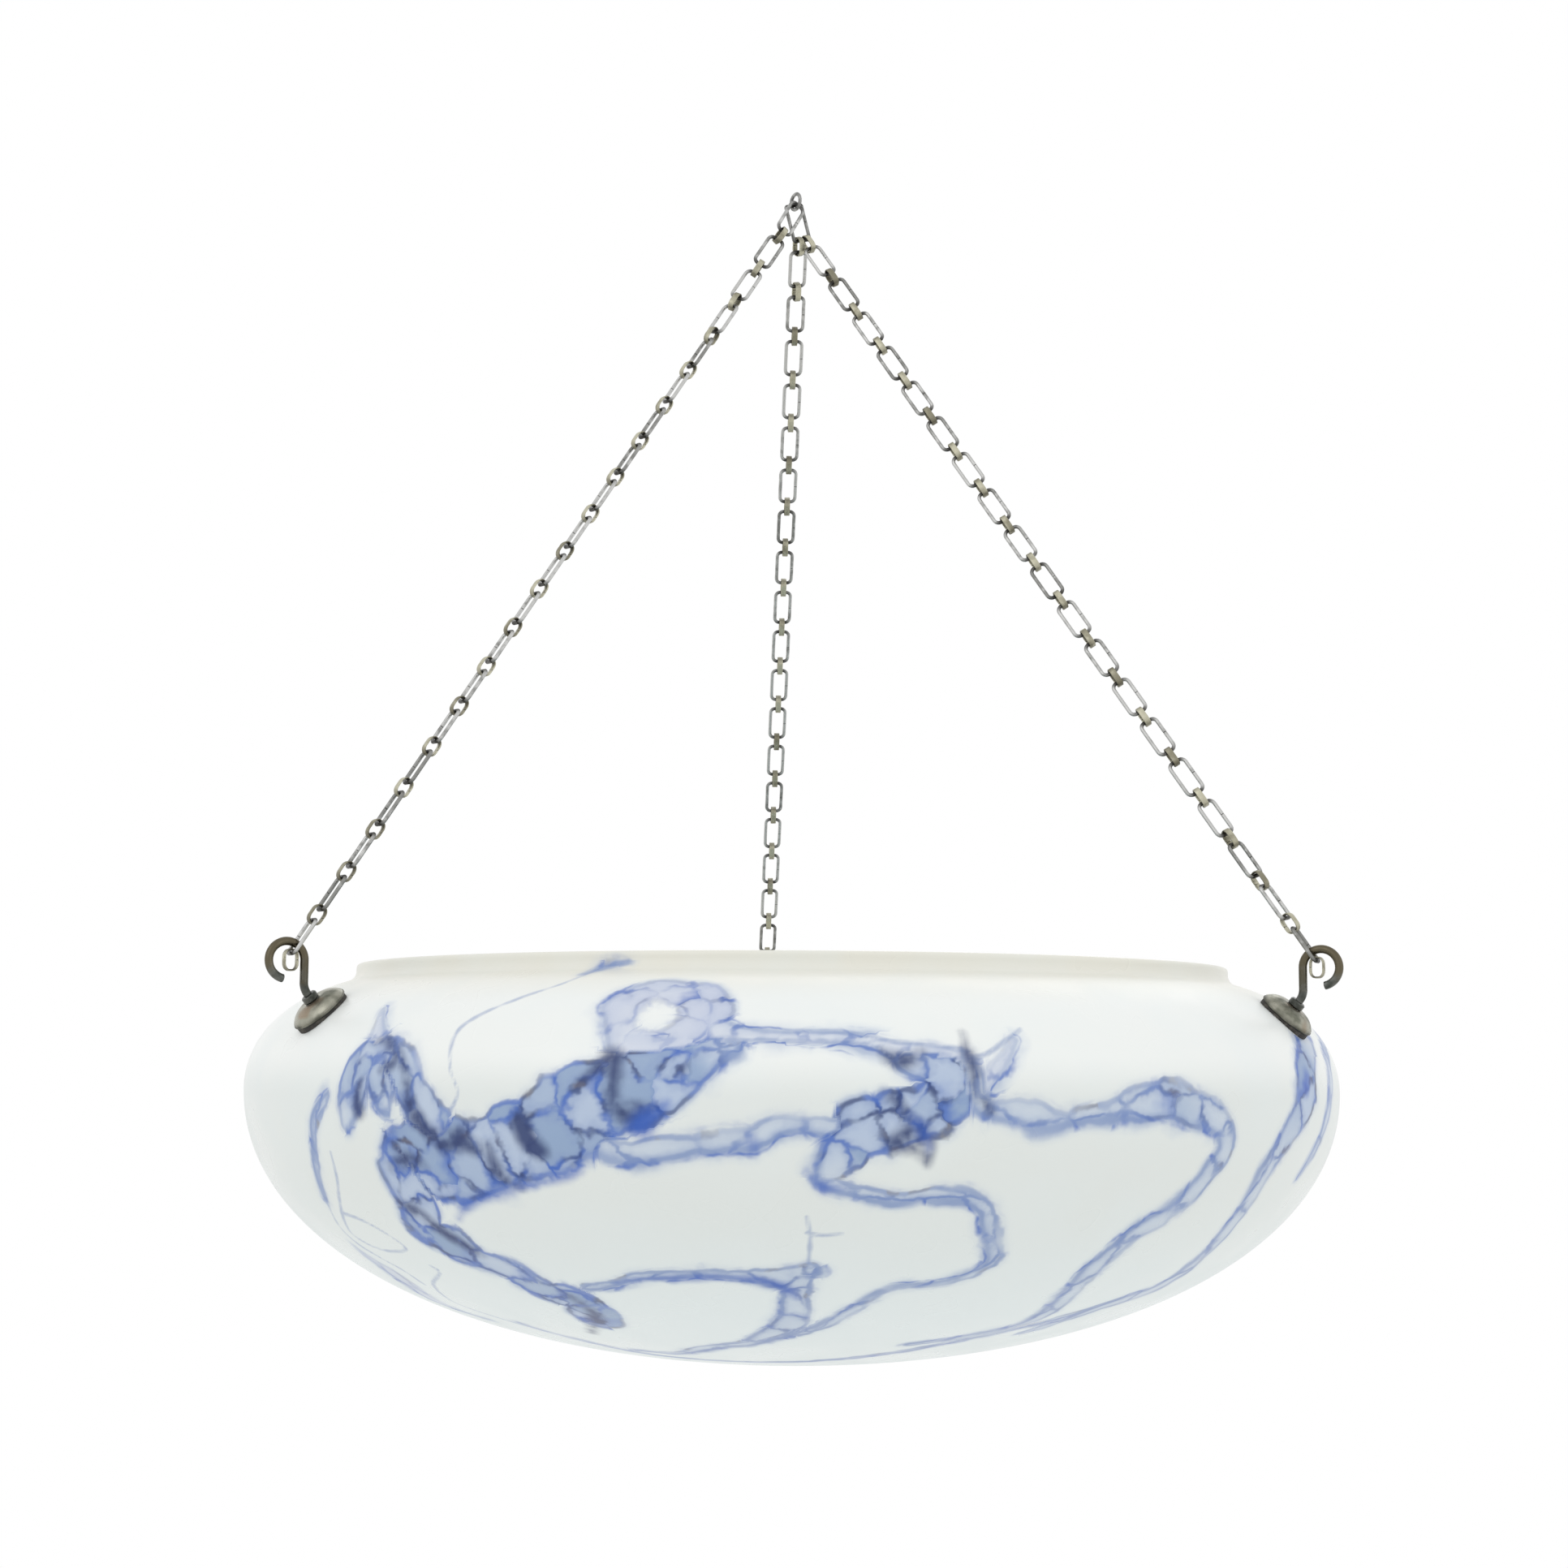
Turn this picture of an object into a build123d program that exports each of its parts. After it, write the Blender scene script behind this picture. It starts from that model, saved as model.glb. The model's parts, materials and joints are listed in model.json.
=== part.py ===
from build123d import *
import os
from math import asin, atan, atan2, cos, degrees, radians, sin, sqrt, tan

os.makedirs("parts", exist_ok=True)

# A glass bowl pendant: an opal bowl with an inturned shoulder, hung on three chains that gather at one ring.
# All sizes are in millimetres. The origin is where a ceiling hook bears, inside the top of the suspension ring.
# The back chain runs to +Y, and the left and right chains come forward, towards -Y.

# Glass bowl, heights from its widest point
bowl_radius = 203.0
bowl_depth = 100.0
bowl_fullness = 0.585  # share of the radius and depth that steers the underside's curve; an ellipse has 0.552
shoulder_swell = 18.5  # how far the side runs upright before it turns in
shoulder_rise = 38.5
shoulder_width = 36.5  # from the widest point in to the neck of the collar
shoulder_run = 22.5  # how far the shoulder's end steers its curve
shoulder_slope = 16.0  # degrees, where the shoulder meets the neck
neck_width = 3.0  # from the shoulder's end in to the collar
collar_height = 6.5
glass_wall = 5.0
rim_chamfer = 0.8

# Hook seats in the shoulder
hook_inset = 12.2  # from the widest point in to the middle of each hole
glass_hole = 5.4

# Hooks, bent from round wire
hook_wire = 2.9
hook_eye_inside = 9.8
hook_bend_radius = 6.0
hook_stem = 7.5  # straight upright run between bend and eye
hook_eye_turn = 258.0  # degrees, from the stem over the top to the tip
hook_sides = 8
hook_flange_diameter = 5.6
hook_flange_height = 2.4
shank_beyond_nut = 2.2

# Dished plates over the glass
plate_diameter = 20.5
plate_height = 4.4
plate_lip = 0.8
plate_crown_diameter = 7.0
plate_bulge = 1.0
plate_metal = 0.8
shank_clearance = 0.25

# Soft pads, washers and nuts
stack_gap = 0.1  # between the pieces on a hook's shank
outer_pad_rise = 0.8
outer_pad_inset = 0.4  # inside the plate's edge
inner_pad_diameter = 15.0
inner_pad_thickness = 2.0
washer_diameter = 13.0
washer_thickness = 1.0
nut_across_flats = 5.5
nut_height = 2.4
thread_clearance = 0.1

# Chains: long links of wire, joined by short links of flat strip
chain_wire = 1.4
wire_sides = 6
long_length = 15.4
long_width = 7.6
long_corner = 1.1
short_inside_length = 6.1
short_inside_width = 3.8
short_corner_width = 1.3  # how much each corner takes from the width
short_corner_length = 2.15  # and from the length
short_wall = 0.7
short_strip = 2.2
chain_gap = 0.15  # from a short link's inside to each bar through it
pairs_per_chain = 19  # short and long links in each chain; the last long link is the one on the hook

# Loose short link on the bar of each hook link
loose_gap = 0.2  # over the bar
loose_swing_gap = 0.75  # under the hook's wire

# Top of the light
ring_inside = 4.8
ring_wire = 1.4
top_gap = 0.2  # from ring to link wire
top_spacing = 0.85  # each top link stands this far to its side of the ring's middle
joining_width = 9.0
joining_corner = 0.7
joining_spacing = 1.6  # each first short link stands this far from the middle of the joining link's bar

# Directions of the three chains seen from above, degrees from +X
chain_bearing = {"left": 210, "back": 90, "right": 330}

# Turn of the long links about the chain, degrees from bars that lie level and square to the hook's plane
chain_turn = {"left": 178.0, "back": 180.0, "right": 69.0}
hook_link_turn = {"left": 180.0, "back": 180.0, "right": 0.0}
links_turning_in = {"left": 4, "back": 2, "right": 2}
links_turning_out = 4


def level(bearing):
    """Level unit vector at this bearing."""
    return Vector(cos(radians(bearing)), sin(radians(bearing)), 0)


# Radii that follow the bowl
shoulder_radius = bowl_radius - shoulder_width
collar_radius = shoulder_radius - neck_width
hook_circle_radius = bowl_radius - hook_inset

# Distances between bars along a chain
long_reach = long_length - chain_wire
short_reach = short_inside_length - chain_wire - 2 * chain_gap
chain_run = pairs_per_chain * (long_reach + short_reach)
up = Vector(0, 0, 1)

# The two top links lean in the upright plane of the left chain, as the pull of the chains sets them
chain_lean = asin(hook_circle_radius / (chain_run + long_reach))
joining_lean = atan(tan(chain_lean) / 2)
left_out = level(chain_bearing["left"])
across = level(chain_bearing["left"] + 90)
ring_radius = (ring_inside + ring_wire) / 2
ring_centre = up * (-ring_inside / 2)
ring_seat = ring_centre - up * sqrt(ring_radius**2 - top_spacing**2)
top_reach = (ring_wire + chain_wire) / 2 + top_gap
left_top_pull = left_out * sin(chain_lean) - up * cos(chain_lean)
left_top_way = left_out * cos(chain_lean) + up * sin(chain_lean)
left_top_centre = ring_seat + across * top_spacing + left_top_pull * (long_reach / 2 - top_reach)
joining_pull = left_out * -sin(joining_lean) - up * cos(joining_lean)
joining_way = left_out * -cos(joining_lean) + up * sin(joining_lean)
joining_centre = ring_seat - across * top_spacing + joining_pull * (long_reach / 2 - top_reach)
joining_low_bar = joining_centre + joining_pull * (long_reach / 2)

# Where each chain starts, and the way the bar it starts from lies
chain_start = {
    "left": left_top_centre + left_top_pull * (long_reach / 2),
    "back": joining_low_bar - joining_way * joining_spacing,
    "right": joining_low_bar + joining_way * joining_spacing,
}
start_way = {"left": left_top_way, "back": joining_way, "right": joining_way}

# Outside of the glass as radii and heights from its widest point; the neck rounds the shoulder into the collar
shoulder_end = Vector(shoulder_radius, shoulder_rise)
shoulder_in = Vector(-cos(radians(shoulder_slope)), sin(radians(shoulder_slope)))
rim_rise = shoulder_rise + collar_height
neck_radius = (shoulder_radius - collar_radius) / (1 - shoulder_in.Y)
neck_rise = shoulder_rise - neck_radius * shoulder_in.X
underside = [
    Vector(0, -bowl_depth),
    Vector(bowl_fullness * bowl_radius, -bowl_depth),
    Vector(bowl_radius, -bowl_fullness * bowl_depth),
    Vector(bowl_radius, 0),
]
shoulder = [
    Vector(bowl_radius, 0),
    Vector(bowl_radius, shoulder_swell),
    shoulder_end - shoulder_in * shoulder_run,
    shoulder_end,
]

# Seat of a hook on the shoulder, and the lean of its shank outwards from upright
seat_line = Edge.make_line((hook_circle_radius, 0), (hook_circle_radius, rim_rise))
seat_curve = Edge.make_bezier(*shoulder)
seat_point = seat_curve.intersect(seat_line)[0].center()
seat_way = seat_curve % seat_curve.param_at_point(seat_point)
seat_lean = atan2(seat_way.Y, -seat_way.X)

# The hook from its seat: shank, bend, stem and eye
plate_floor = outer_pad_rise + stack_gap
plate_top = plate_floor + plate_height
flange_floor = plate_top + stack_gap
bend_start = flange_floor + hook_flange_height
eye_radius = (hook_eye_inside + hook_wire) / 2
eye_out = bend_start * sin(seat_lean) + hook_bend_radius * (1 - cos(seat_lean)) + eye_radius
eye_up = bend_start * cos(seat_lean) + hook_bend_radius * sin(seat_lean) + hook_stem
inner_pad_floor = -glass_wall - inner_pad_thickness
washer_floor = inner_pad_floor - stack_gap - washer_thickness
nut_floor = washer_floor - stack_gap - nut_height
shank_end = nut_floor - shank_beyond_nut
shank_hole = hook_wire + 2 * shank_clearance

# The chain's length sets the height of everything below it
bar_from_eye = hook_eye_inside / 2 - loose_swing_gap - short_wall - loose_gap - chain_wire / 2
bar_radius = hook_circle_radius + eye_out - bar_from_eye * sin(chain_lean)
back_offset = chain_start["back"] - level(chain_bearing["back"]) * bar_radius
bar_height = chain_start["back"].Z - sqrt(chain_run**2 - back_offset.X**2 - back_offset.Y**2)
seat_height = bar_height - bar_from_eye * cos(chain_lean) - eye_up
bowl_height = seat_height - seat_point.Y
chain_end = {side: level(bearing) * bar_radius + up * bar_height for side, bearing in chain_bearing.items()}

# Place of a hook's seat at bearing 0, with Z along the shank
seat = Location((hook_circle_radius, 0, seat_height), (0, degrees(seat_lean), 0))


def save(piece, name):
    """Write a finished piece under its own name."""
    piece.label = name
    export_step(piece, f"parts/{name}.step")


def save_placed(master, name, *places):
    """Write copies of a piece, one at each place, as one file."""
    with BuildPart() as placed:
        with Locations(*places):
            add(master)
    save(placed.part, name)


def link_place(middle, bar_way, pull):
    """Place of a link, which is made with its length along Z and its bars along X."""
    return Plane(origin=middle, x_dir=bar_way, z_dir=pull).location


def inset(steers, distance):
    """Steering points of a curve this far inside the one that these points steer."""
    first, second, third, fourth = steers
    start = first + (second - first).normalized().rotate(Axis.Z, 90) * distance
    end = fourth + (fourth - third).normalized().rotate(Axis.Z, 90) * distance
    scale = (end - start).length / (fourth - first).length
    return [start, start + (second - first) * scale, end - (fourth - third) * scale, end]


def wire_link(length, width, corner):
    """A link of chain wire with its corners cut, length along Z and bars along X."""
    tall = (length - chain_wire) / 2
    wide = (width - chain_wire) / 2
    half = [(wide - corner, -tall), (wide, corner - tall), (wide, tall - corner), (wide - corner, tall)]
    with BuildPart() as link:
        with BuildLine(Plane.XZ):
            Polyline((0, -tall), *half, *[(-x, -z) for x, z in half], (0, -tall))
        with BuildSketch(Plane(origin=(0, 0, -tall), z_dir=(1, 0, 0))):
            RegularPolygon(chain_wire / 2, wire_sides)
        sweep(transition=Transition.RIGHT)
    return link.part


# Section of the glass, as a plane whose own height starts at the widest point
section = Plane(origin=(0, 0, bowl_height), x_dir=(1, 0, 0), z_dir=(0, -1, 0))

# Glass bowl with its three hook holes
with BuildPart() as glass_bowl:
    with BuildSketch(section):
        with BuildLine():
            Bezier(*underside)
            Bezier(*shoulder)
            TangentArc(shoulder_end, (collar_radius, neck_rise), tangent=shoulder_in)
            Polyline(
                (collar_radius, neck_rise),
                (collar_radius, rim_rise),
                (collar_radius - glass_wall, rim_rise),
                (collar_radius - glass_wall, neck_rise),
            )
            inner_shoulder = Bezier(*inset(shoulder, glass_wall))
            TangentArc(inner_shoulder @ 1, (collar_radius - glass_wall, neck_rise), tangent=shoulder_in)
            Bezier(*inset(underside, glass_wall))
            Line((0, -bowl_depth), (0, glass_wall - bowl_depth))
        make_face()
    revolve(axis=Axis.Z)
    chamfer(glass_bowl.edges().filter_by(GeomType.CIRCLE).group_by(Axis.Z)[-1], length=rim_chamfer)
    for bearing in chain_bearing.values():
        with Locations(Location((0, 0, 0), (0, 0, bearing)) * seat):
            Cylinder(glass_hole / 2, 4 * glass_wall, mode=Mode.SUBTRACT)
save(glass_bowl.part, "glass_bowl")

# Room that the glass takes below the neck with a thin gap all round, to shape the pads
with BuildPart() as glass_room:
    with BuildSketch(section):
        with BuildLine():
            lower_outside = Bezier(*inset(underside, -stack_gap))
            outside = Bezier(*inset(shoulder, -stack_gap))
            inside = Bezier(*inset(shoulder, glass_wall + stack_gap))
            lower_inside = Bezier(*inset(underside, glass_wall + stack_gap))
            Line(outside @ 1, inside @ 1)
            Line(lower_outside @ 0, lower_inside @ 0)
        make_face()
    revolve(axis=Axis.Z)

# Soft pad between plate and glass
with BuildPart() as outer_pad:
    with Locations(seat * Location((0, 0, outer_pad_rise))):
        Cylinder(plate_diameter / 2 - outer_pad_inset, glass_wall, align=(Align.CENTER, Align.CENTER, Align.MAX))
    with Locations(seat):
        Cylinder(shank_hole / 2, 4 * glass_wall, mode=Mode.SUBTRACT)
    add(glass_room.part, mode=Mode.SUBTRACT)

# Soft pad under the glass
with BuildPart() as inner_pad:
    with Locations(seat * Location((0, 0, inner_pad_floor))):
        Cylinder(inner_pad_diameter / 2, 2 * inner_pad_thickness, align=(Align.CENTER, Align.CENTER, Align.MIN))
    with Locations(seat):
        Cylinder(shank_hole / 2, 4 * glass_wall, mode=Mode.SUBTRACT)
    add(glass_room.part, mode=Mode.SUBTRACT)

# Dished plate, made on its own axis
with BuildPart() as plate:
    with BuildSketch(Plane.XZ):
        with BuildLine():
            Line((shank_hole / 2, plate_top), (plate_crown_diameter / 2, plate_top))
            SagittaArc(
                (plate_crown_diameter / 2, plate_top),
                (plate_diameter / 2, plate_floor + plate_lip),
                plate_bulge,
            )
            Line((plate_diameter / 2, plate_floor + plate_lip), (plate_diameter / 2, plate_floor))
            offset(amount=plate_metal, side=Side.RIGHT)
        make_face()
    revolve(axis=Axis.Z)

# Hook, made in the XZ plane from its seat outwards
shank_way = (sin(seat_lean), cos(seat_lean))
stem_out = eye_out - eye_radius
with BuildPart() as hook:
    with BuildLine(Plane.XZ):
        Line(tuple(shank_end * way for way in shank_way), tuple(bend_start * way for way in shank_way))
        JernArc(tuple(bend_start * way for way in shank_way), shank_way, hook_bend_radius, degrees(seat_lean))
        Line((stem_out, eye_up - hook_stem), (stem_out, eye_up))
        JernArc((stem_out, eye_up), (0, 1), eye_radius, -hook_eye_turn)
    shank_start = Vector(shank_way[0], 0, shank_way[1]) * shank_end
    with BuildSketch(Plane(origin=shank_start, z_dir=(shank_way[0], 0, shank_way[1]))):
        RegularPolygon(hook_wire / 2, hook_sides)
    sweep()
    with Locations(Location((0, 0, 0), (0, degrees(seat_lean), 0)) * Location((0, 0, flange_floor))):
        Cylinder(
            hook_flange_diameter / 2,
            hook_flange_height,
            align=(Align.CENTER, Align.CENTER, Align.MIN),
        )

# Washer and nut on the shank inside the bowl, made on their own axis
with BuildPart() as washer:
    with Locations((0, 0, washer_floor)):
        Cylinder(washer_diameter / 2, washer_thickness, align=(Align.CENTER, Align.CENTER, Align.MIN))
        Cylinder(shank_hole / 2, 4 * washer_thickness, mode=Mode.SUBTRACT)
with BuildPart() as nut:
    with BuildSketch(Plane.XY.offset(nut_floor)):
        RegularPolygon(nut_across_flats / 2, 6, major_radius=False)
        Circle(hook_wire / 2 + thread_clearance, mode=Mode.SUBTRACT)
    extrude(amount=nut_height)

# Short link of flat strip, length along Z and hole along X
with BuildPart() as short_link:
    tall = short_inside_length / 2 + short_wall
    wide = short_inside_width / 2 + short_wall
    half = [
        (wide - short_corner_width, -tall),
        (wide, short_corner_length - tall),
        (wide, tall - short_corner_length),
        (wide - short_corner_width, tall),
    ]
    with BuildSketch(Plane.YZ):
        with BuildLine():
            Polyline(*half, *[(-y, -z) for y, z in half], close=True)
        make_face()
        offset(amount=-short_wall, kind=Kind.INTERSECTION, mode=Mode.SUBTRACT)
    extrude(amount=short_strip / 2, both=True)

# Suspension ring and the two links through it
with BuildPart() as suspension_ring:
    with BuildSketch(Plane.XZ):
        with Locations((ring_radius, 0)):
            RegularPolygon(ring_wire / 2, wire_sides)
    revolve(axis=Axis.Z)
save_placed(suspension_ring.part, "suspension_ring", Plane(origin=ring_centre, x_dir=up, z_dir=left_out).location)
long_link = wire_link(long_length, long_width, long_corner)
joining_link = wire_link(long_length, joining_width, joining_corner)
save_placed(long_link, "left_top_link", link_place(left_top_centre, left_top_way, left_top_pull))
save_placed(joining_link, "joining_link", link_place(joining_centre, joining_way, joining_pull))

for side, bearing in chain_bearing.items():
    start = chain_start[side]
    run = chain_end[side] - start
    pull = run.normalized()
    pair_run = run.length / pairs_per_chain
    lead_in = links_turning_in[side]
    last = pairs_per_chain - 1
    edge_way = level(bearing + 90)
    face_way = pull.cross(edge_way)
    first_turn = degrees(atan2(start_way[side].dot(face_way), start_way[side].dot(edge_way)))

    # The way that each long link's bars lie, from the start of the chain to the hook
    ways = [start_way[side]]
    for number in range(pairs_per_chain):
        turn = chain_turn[side]
        if number < lead_in:
            turn = first_turn + (turn - first_turn) * (number + 1) / lead_in
        if number > last - links_turning_out:
            turned = (number - last + links_turning_out) / links_turning_out
            turn = turn + (hook_link_turn[side] - turn) * turned
        ways.append(edge_way * cos(radians(turn)) + face_way * sin(radians(turn)))

    # Places of the short and long links
    gap = pair_run - long_reach
    shorts = [link_place(start + pull * (n * pair_run + gap / 2), ways[n], pull) for n in range(pairs_per_chain)]
    longs = [
        link_place(start + pull * ((n + 1) * pair_run - long_reach / 2), ways[n + 1], pull)
        for n in range(pairs_per_chain)
    ]
    save_placed(short_link.part, f"{side}_short_links", *shorts)
    save_placed(long_link, f"{side}_long_links", *longs[:-1])
    save_placed(long_link, f"{side}_hook_link", longs[-1])

    # The loose link hangs straight down from the bar inside the hook's eye
    loose_drop = short_inside_length / 2 - chain_wire / 2 - loose_gap
    loose_place = link_place(chain_end[side] - up * loose_drop, edge_way, -up)
    save_placed(short_link.part, f"{side}_loose_link", loose_place)

    # Hook, plate, pads, washer and nut
    turned = Location((0, 0, 0), (0, 0, bearing))
    save_placed(hook.part, f"{side}_hook", turned * Location((hook_circle_radius, 0, seat_height)))
    save_placed(plate.part, f"{side}_plate", turned * seat)
    save_placed(outer_pad.part, f"{side}_outer_pad", turned)
    save_placed(inner_pad.part, f"{side}_inner_pad", turned)
    save_placed(washer.part, f"{side}_washer", turned * seat)
    save_placed(nut.part, f"{side}_nut", turned * seat)
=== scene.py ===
"""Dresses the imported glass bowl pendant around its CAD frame.

An opal glass bowl with blue agate veins hangs on three chains of wire and strip links, which gather at one
ring. Sizes are in millimetres unless a comment says otherwise, and become metres where a mesh is made.
"""

from __future__ import annotations

import json
import logging
import math
from collections.abc import Callable, Sequence
from dataclasses import dataclass, field
from enum import Enum
from functools import partial

import bmesh
import bpy
import numpy as np
from mathutils import Matrix, Vector


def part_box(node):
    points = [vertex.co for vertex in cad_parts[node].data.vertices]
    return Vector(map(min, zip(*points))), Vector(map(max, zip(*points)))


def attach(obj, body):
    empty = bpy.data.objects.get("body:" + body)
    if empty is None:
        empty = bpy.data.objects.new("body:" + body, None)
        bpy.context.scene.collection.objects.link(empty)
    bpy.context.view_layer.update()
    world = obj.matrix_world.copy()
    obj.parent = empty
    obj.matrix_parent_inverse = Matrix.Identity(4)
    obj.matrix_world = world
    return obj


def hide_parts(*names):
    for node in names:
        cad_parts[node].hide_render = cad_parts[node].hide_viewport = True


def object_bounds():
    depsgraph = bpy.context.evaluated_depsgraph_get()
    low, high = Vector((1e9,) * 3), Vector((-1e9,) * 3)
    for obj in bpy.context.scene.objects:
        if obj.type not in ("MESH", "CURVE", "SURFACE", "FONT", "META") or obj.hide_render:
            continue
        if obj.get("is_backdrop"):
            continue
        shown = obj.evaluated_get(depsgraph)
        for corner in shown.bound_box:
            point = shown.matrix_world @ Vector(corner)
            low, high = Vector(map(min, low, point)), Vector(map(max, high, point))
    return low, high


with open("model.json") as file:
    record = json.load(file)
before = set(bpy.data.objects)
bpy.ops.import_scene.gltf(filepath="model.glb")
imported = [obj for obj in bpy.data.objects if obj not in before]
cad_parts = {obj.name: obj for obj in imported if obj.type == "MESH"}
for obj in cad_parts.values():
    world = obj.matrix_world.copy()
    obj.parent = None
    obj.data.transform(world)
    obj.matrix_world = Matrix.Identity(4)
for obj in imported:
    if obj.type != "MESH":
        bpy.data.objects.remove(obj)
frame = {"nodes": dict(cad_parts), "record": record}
CAD_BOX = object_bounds()
METRES = 0.001
# Corners of a CAD node nearer than this are one, in metres
WELD = 1e-6
# Points along a link's joint, from its middle
JOINT = (-0.14, -0.05, 0.05, 0.14)
UP = np.array((0.0, 0.0, 1.0))
SIDES = ("left", "back", "right")
log = logging.getLogger("pendant")
# Settings of the two nodes used most: an eased change of range, and one colour laid over another
EASED: dict[str, object] = {"interpolation_type": "SMOOTHSTEP"}
LAID_OVER: dict[str, object] = {"output": 2, "data_type": "RGBA"}
AddNode = Callable[..., bpy.types.NodeSocket]


class Slot(Enum):
    """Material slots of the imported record."""

    OPAL_GLASS = "opal_glass"
    PLATED_STEEL = "plated_steel"
    AGED_STRIP = "aged_strip"
    DARK_BRONZE = "dark_bronze"
    PLATE_METAL = "plate_metal"
    PAD = "pad"
    PLAIN_STEEL = "plain_steel"


Finishes = dict[Slot, bpy.types.Material]


def linear(colour: str) -> tuple[float, float, float, float]:
    """Turns an sRGB hex colour to linear.

    Args:
        colour: six hex digits after a hash sign.

    Returns:
        Red, green, blue and an alpha of one.
    """
    shares = [int(colour[place : place + 2], 16) / 255 for place in (1, 3, 5)]
    red, green, blue = (
        share / 12.92 if share <= 0.04045 else ((share + 0.055) / 1.055) ** 2.4 for share in shares
    )
    return red, green, blue, 1.0


def add_node(
    tree: bpy.types.NodeTree,
    kind: str,
    inputs: Sequence[object] | dict[str | int, object] = (),
    output: str | int = 0,
    **settings: object,
) -> bpy.types.NodeSocket | None:
    """Adds one shader node with its settings and links.

    Args:
        tree: the material's node tree.
        kind: Blender's name for the node, without its ShaderNode start.
        inputs: constants or sockets that feed it, in order or by socket name or number.
        output: which of its outputs to return.
        settings: the node's own properties.

    Returns:
        The chosen output, or None for a node that has none.
    """
    node = tree.nodes.new("ShaderNode" + kind)
    for name, value in settings.items():
        setattr(node, name, value)
    for socket, value in inputs.items() if isinstance(inputs, dict) else enumerate(inputs):
        if isinstance(value, bpy.types.NodeSocket):
            tree.links.new(value, node.inputs[socket])
        else:
            node.inputs[socket].default_value = value
    return node.outputs[output] if node.outputs else None


def new_material(name: str) -> tuple[bpy.types.Material, AddNode]:
    """Makes an empty node material.

    Args:
        name: what the finish is called.

    Returns:
        The material, and add_node set to work on it.
    """
    material = bpy.data.materials.new(name)
    material.use_nodes = True
    material.node_tree.nodes.clear()
    return material, partial(add_node, material.node_tree)


def add_object(name: str, data: bpy.types.ID) -> bpy.types.Object:
    """Puts new data in the scene.

    Args:
        name: the object's name.
        data: its mesh, camera or light.

    Returns:
        The new object.
    """
    thing = bpy.data.objects.new(name, data)
    bpy.context.collection.objects.link(thing)
    return thing


@dataclass(frozen=True)
class Place:
    """Where a piece sits: its middle, and the directions across, along and through it."""

    middle: np.ndarray
    across: np.ndarray
    along: np.ndarray
    through: np.ndarray

    def world(self, across: np.ndarray, along: np.ndarray, through: np.ndarray) -> np.ndarray:
        """Turns distances from the middle into points.

        Args:
            across: distances across the piece.
            along: distances along it.
            through: distances through it.

        Returns:
            Points, with the distances' shape and one more axis of three.
        """
        flat = across[..., None] * self.across + along[..., None] * self.along
        return self.middle + flat + through[..., None] * self.through


@dataclass
class Draft:
    """One mesh in the making, gathered from closed surfaces."""

    points: list[np.ndarray] = field(default_factory=list)
    faces: list[tuple[int, ...]] = field(default_factory=list)
    values: dict[str, list[np.ndarray]] = field(default_factory=dict)
    count: int = 0

    def add(self, grid: np.ndarray, closed: bool = True, **values: np.ndarray | float) -> None:
        """Adds a surface whose columns wrap round.

        Args:
            grid: rows of points along the surface, with columns round it.
            closed: whether the last row meets the first; otherwise both ends are capped.
            values: numbers that the points carry, one for each point, for each row or for all.
        """
        rows, columns = grid.shape[:2]
        for row in range(rows if closed else rows - 1):
            near = self.count + row * columns
            far = self.count + (row + 1) % rows * columns
            for column in range(columns):
                after = (column + 1) % columns
                self.faces.append((near + column, near + after, far + after, far + column))
        if not closed:
            last = self.count + (rows - 1) * columns
            self.faces.append(tuple(range(self.count + columns - 1, self.count - 1, -1)))
            self.faces.append(tuple(range(last, last + columns)))
        self.points.append(grid.reshape(-1, 3))
        for name, value in values.items():
            spread = np.asarray(value, dtype=float)
            spread = spread[:, None] if spread.ndim == 1 else spread
            self.values.setdefault(name, []).append(np.broadcast_to(spread, (rows, columns)).ravel())
        self.count += rows * columns

    def mesh(self, name: str) -> bpy.types.Mesh:
        """Makes the mesh, with its faces turned outwards.

        Args:
            name: the mesh's name.

        Returns:
            The new mesh.
        """
        mesh = bpy.data.meshes.new(name)
        mesh.from_pydata((np.concatenate(self.points) * METRES).tolist(), [], self.faces)
        for value_name, parts in self.values.items():
            store(mesh, value_name, np.concatenate(parts))
        draft = bmesh.new()
        draft.from_mesh(mesh)
        bmesh.ops.recalc_face_normals(draft, faces=draft.faces)
        draft.to_mesh(mesh)
        draft.free()
        return mesh

    def make(self, node: str, form: str, finishes: Finishes, slot: Slot, crease: float = 40.0) -> None:
        """Makes the object that stands for a CAD node and moves with its body.

        Args:
            node: the CAD node's name, which starts the piece's own.
            form: the rest of that.
            finishes: materials by slot.
            slot: the record's slot that it takes its finish from.
            crease: angle in degrees above which an edge stays sharp.
        """
        name = f"{node}_{form}"
        mesh = self.mesh(name)
        mesh.shade_smooth()
        mesh.set_sharp_from_angle(angle=math.radians(crease))
        mesh.materials.append(finishes[slot])
        dress(add_object(name, mesh), slot, (node,))


def store(mesh: bpy.types.Mesh, name: str, numbers: np.ndarray) -> None:
    """Keeps one number for each point in the mesh.

    Args:
        mesh: mesh to write to.
        name: what the shader reads it by.
        numbers: one for each point.
    """
    layer = mesh.attributes.new(name, "FLOAT", "POINT")
    layer.data.foreach_set("value", numbers.astype(np.float32))


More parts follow.
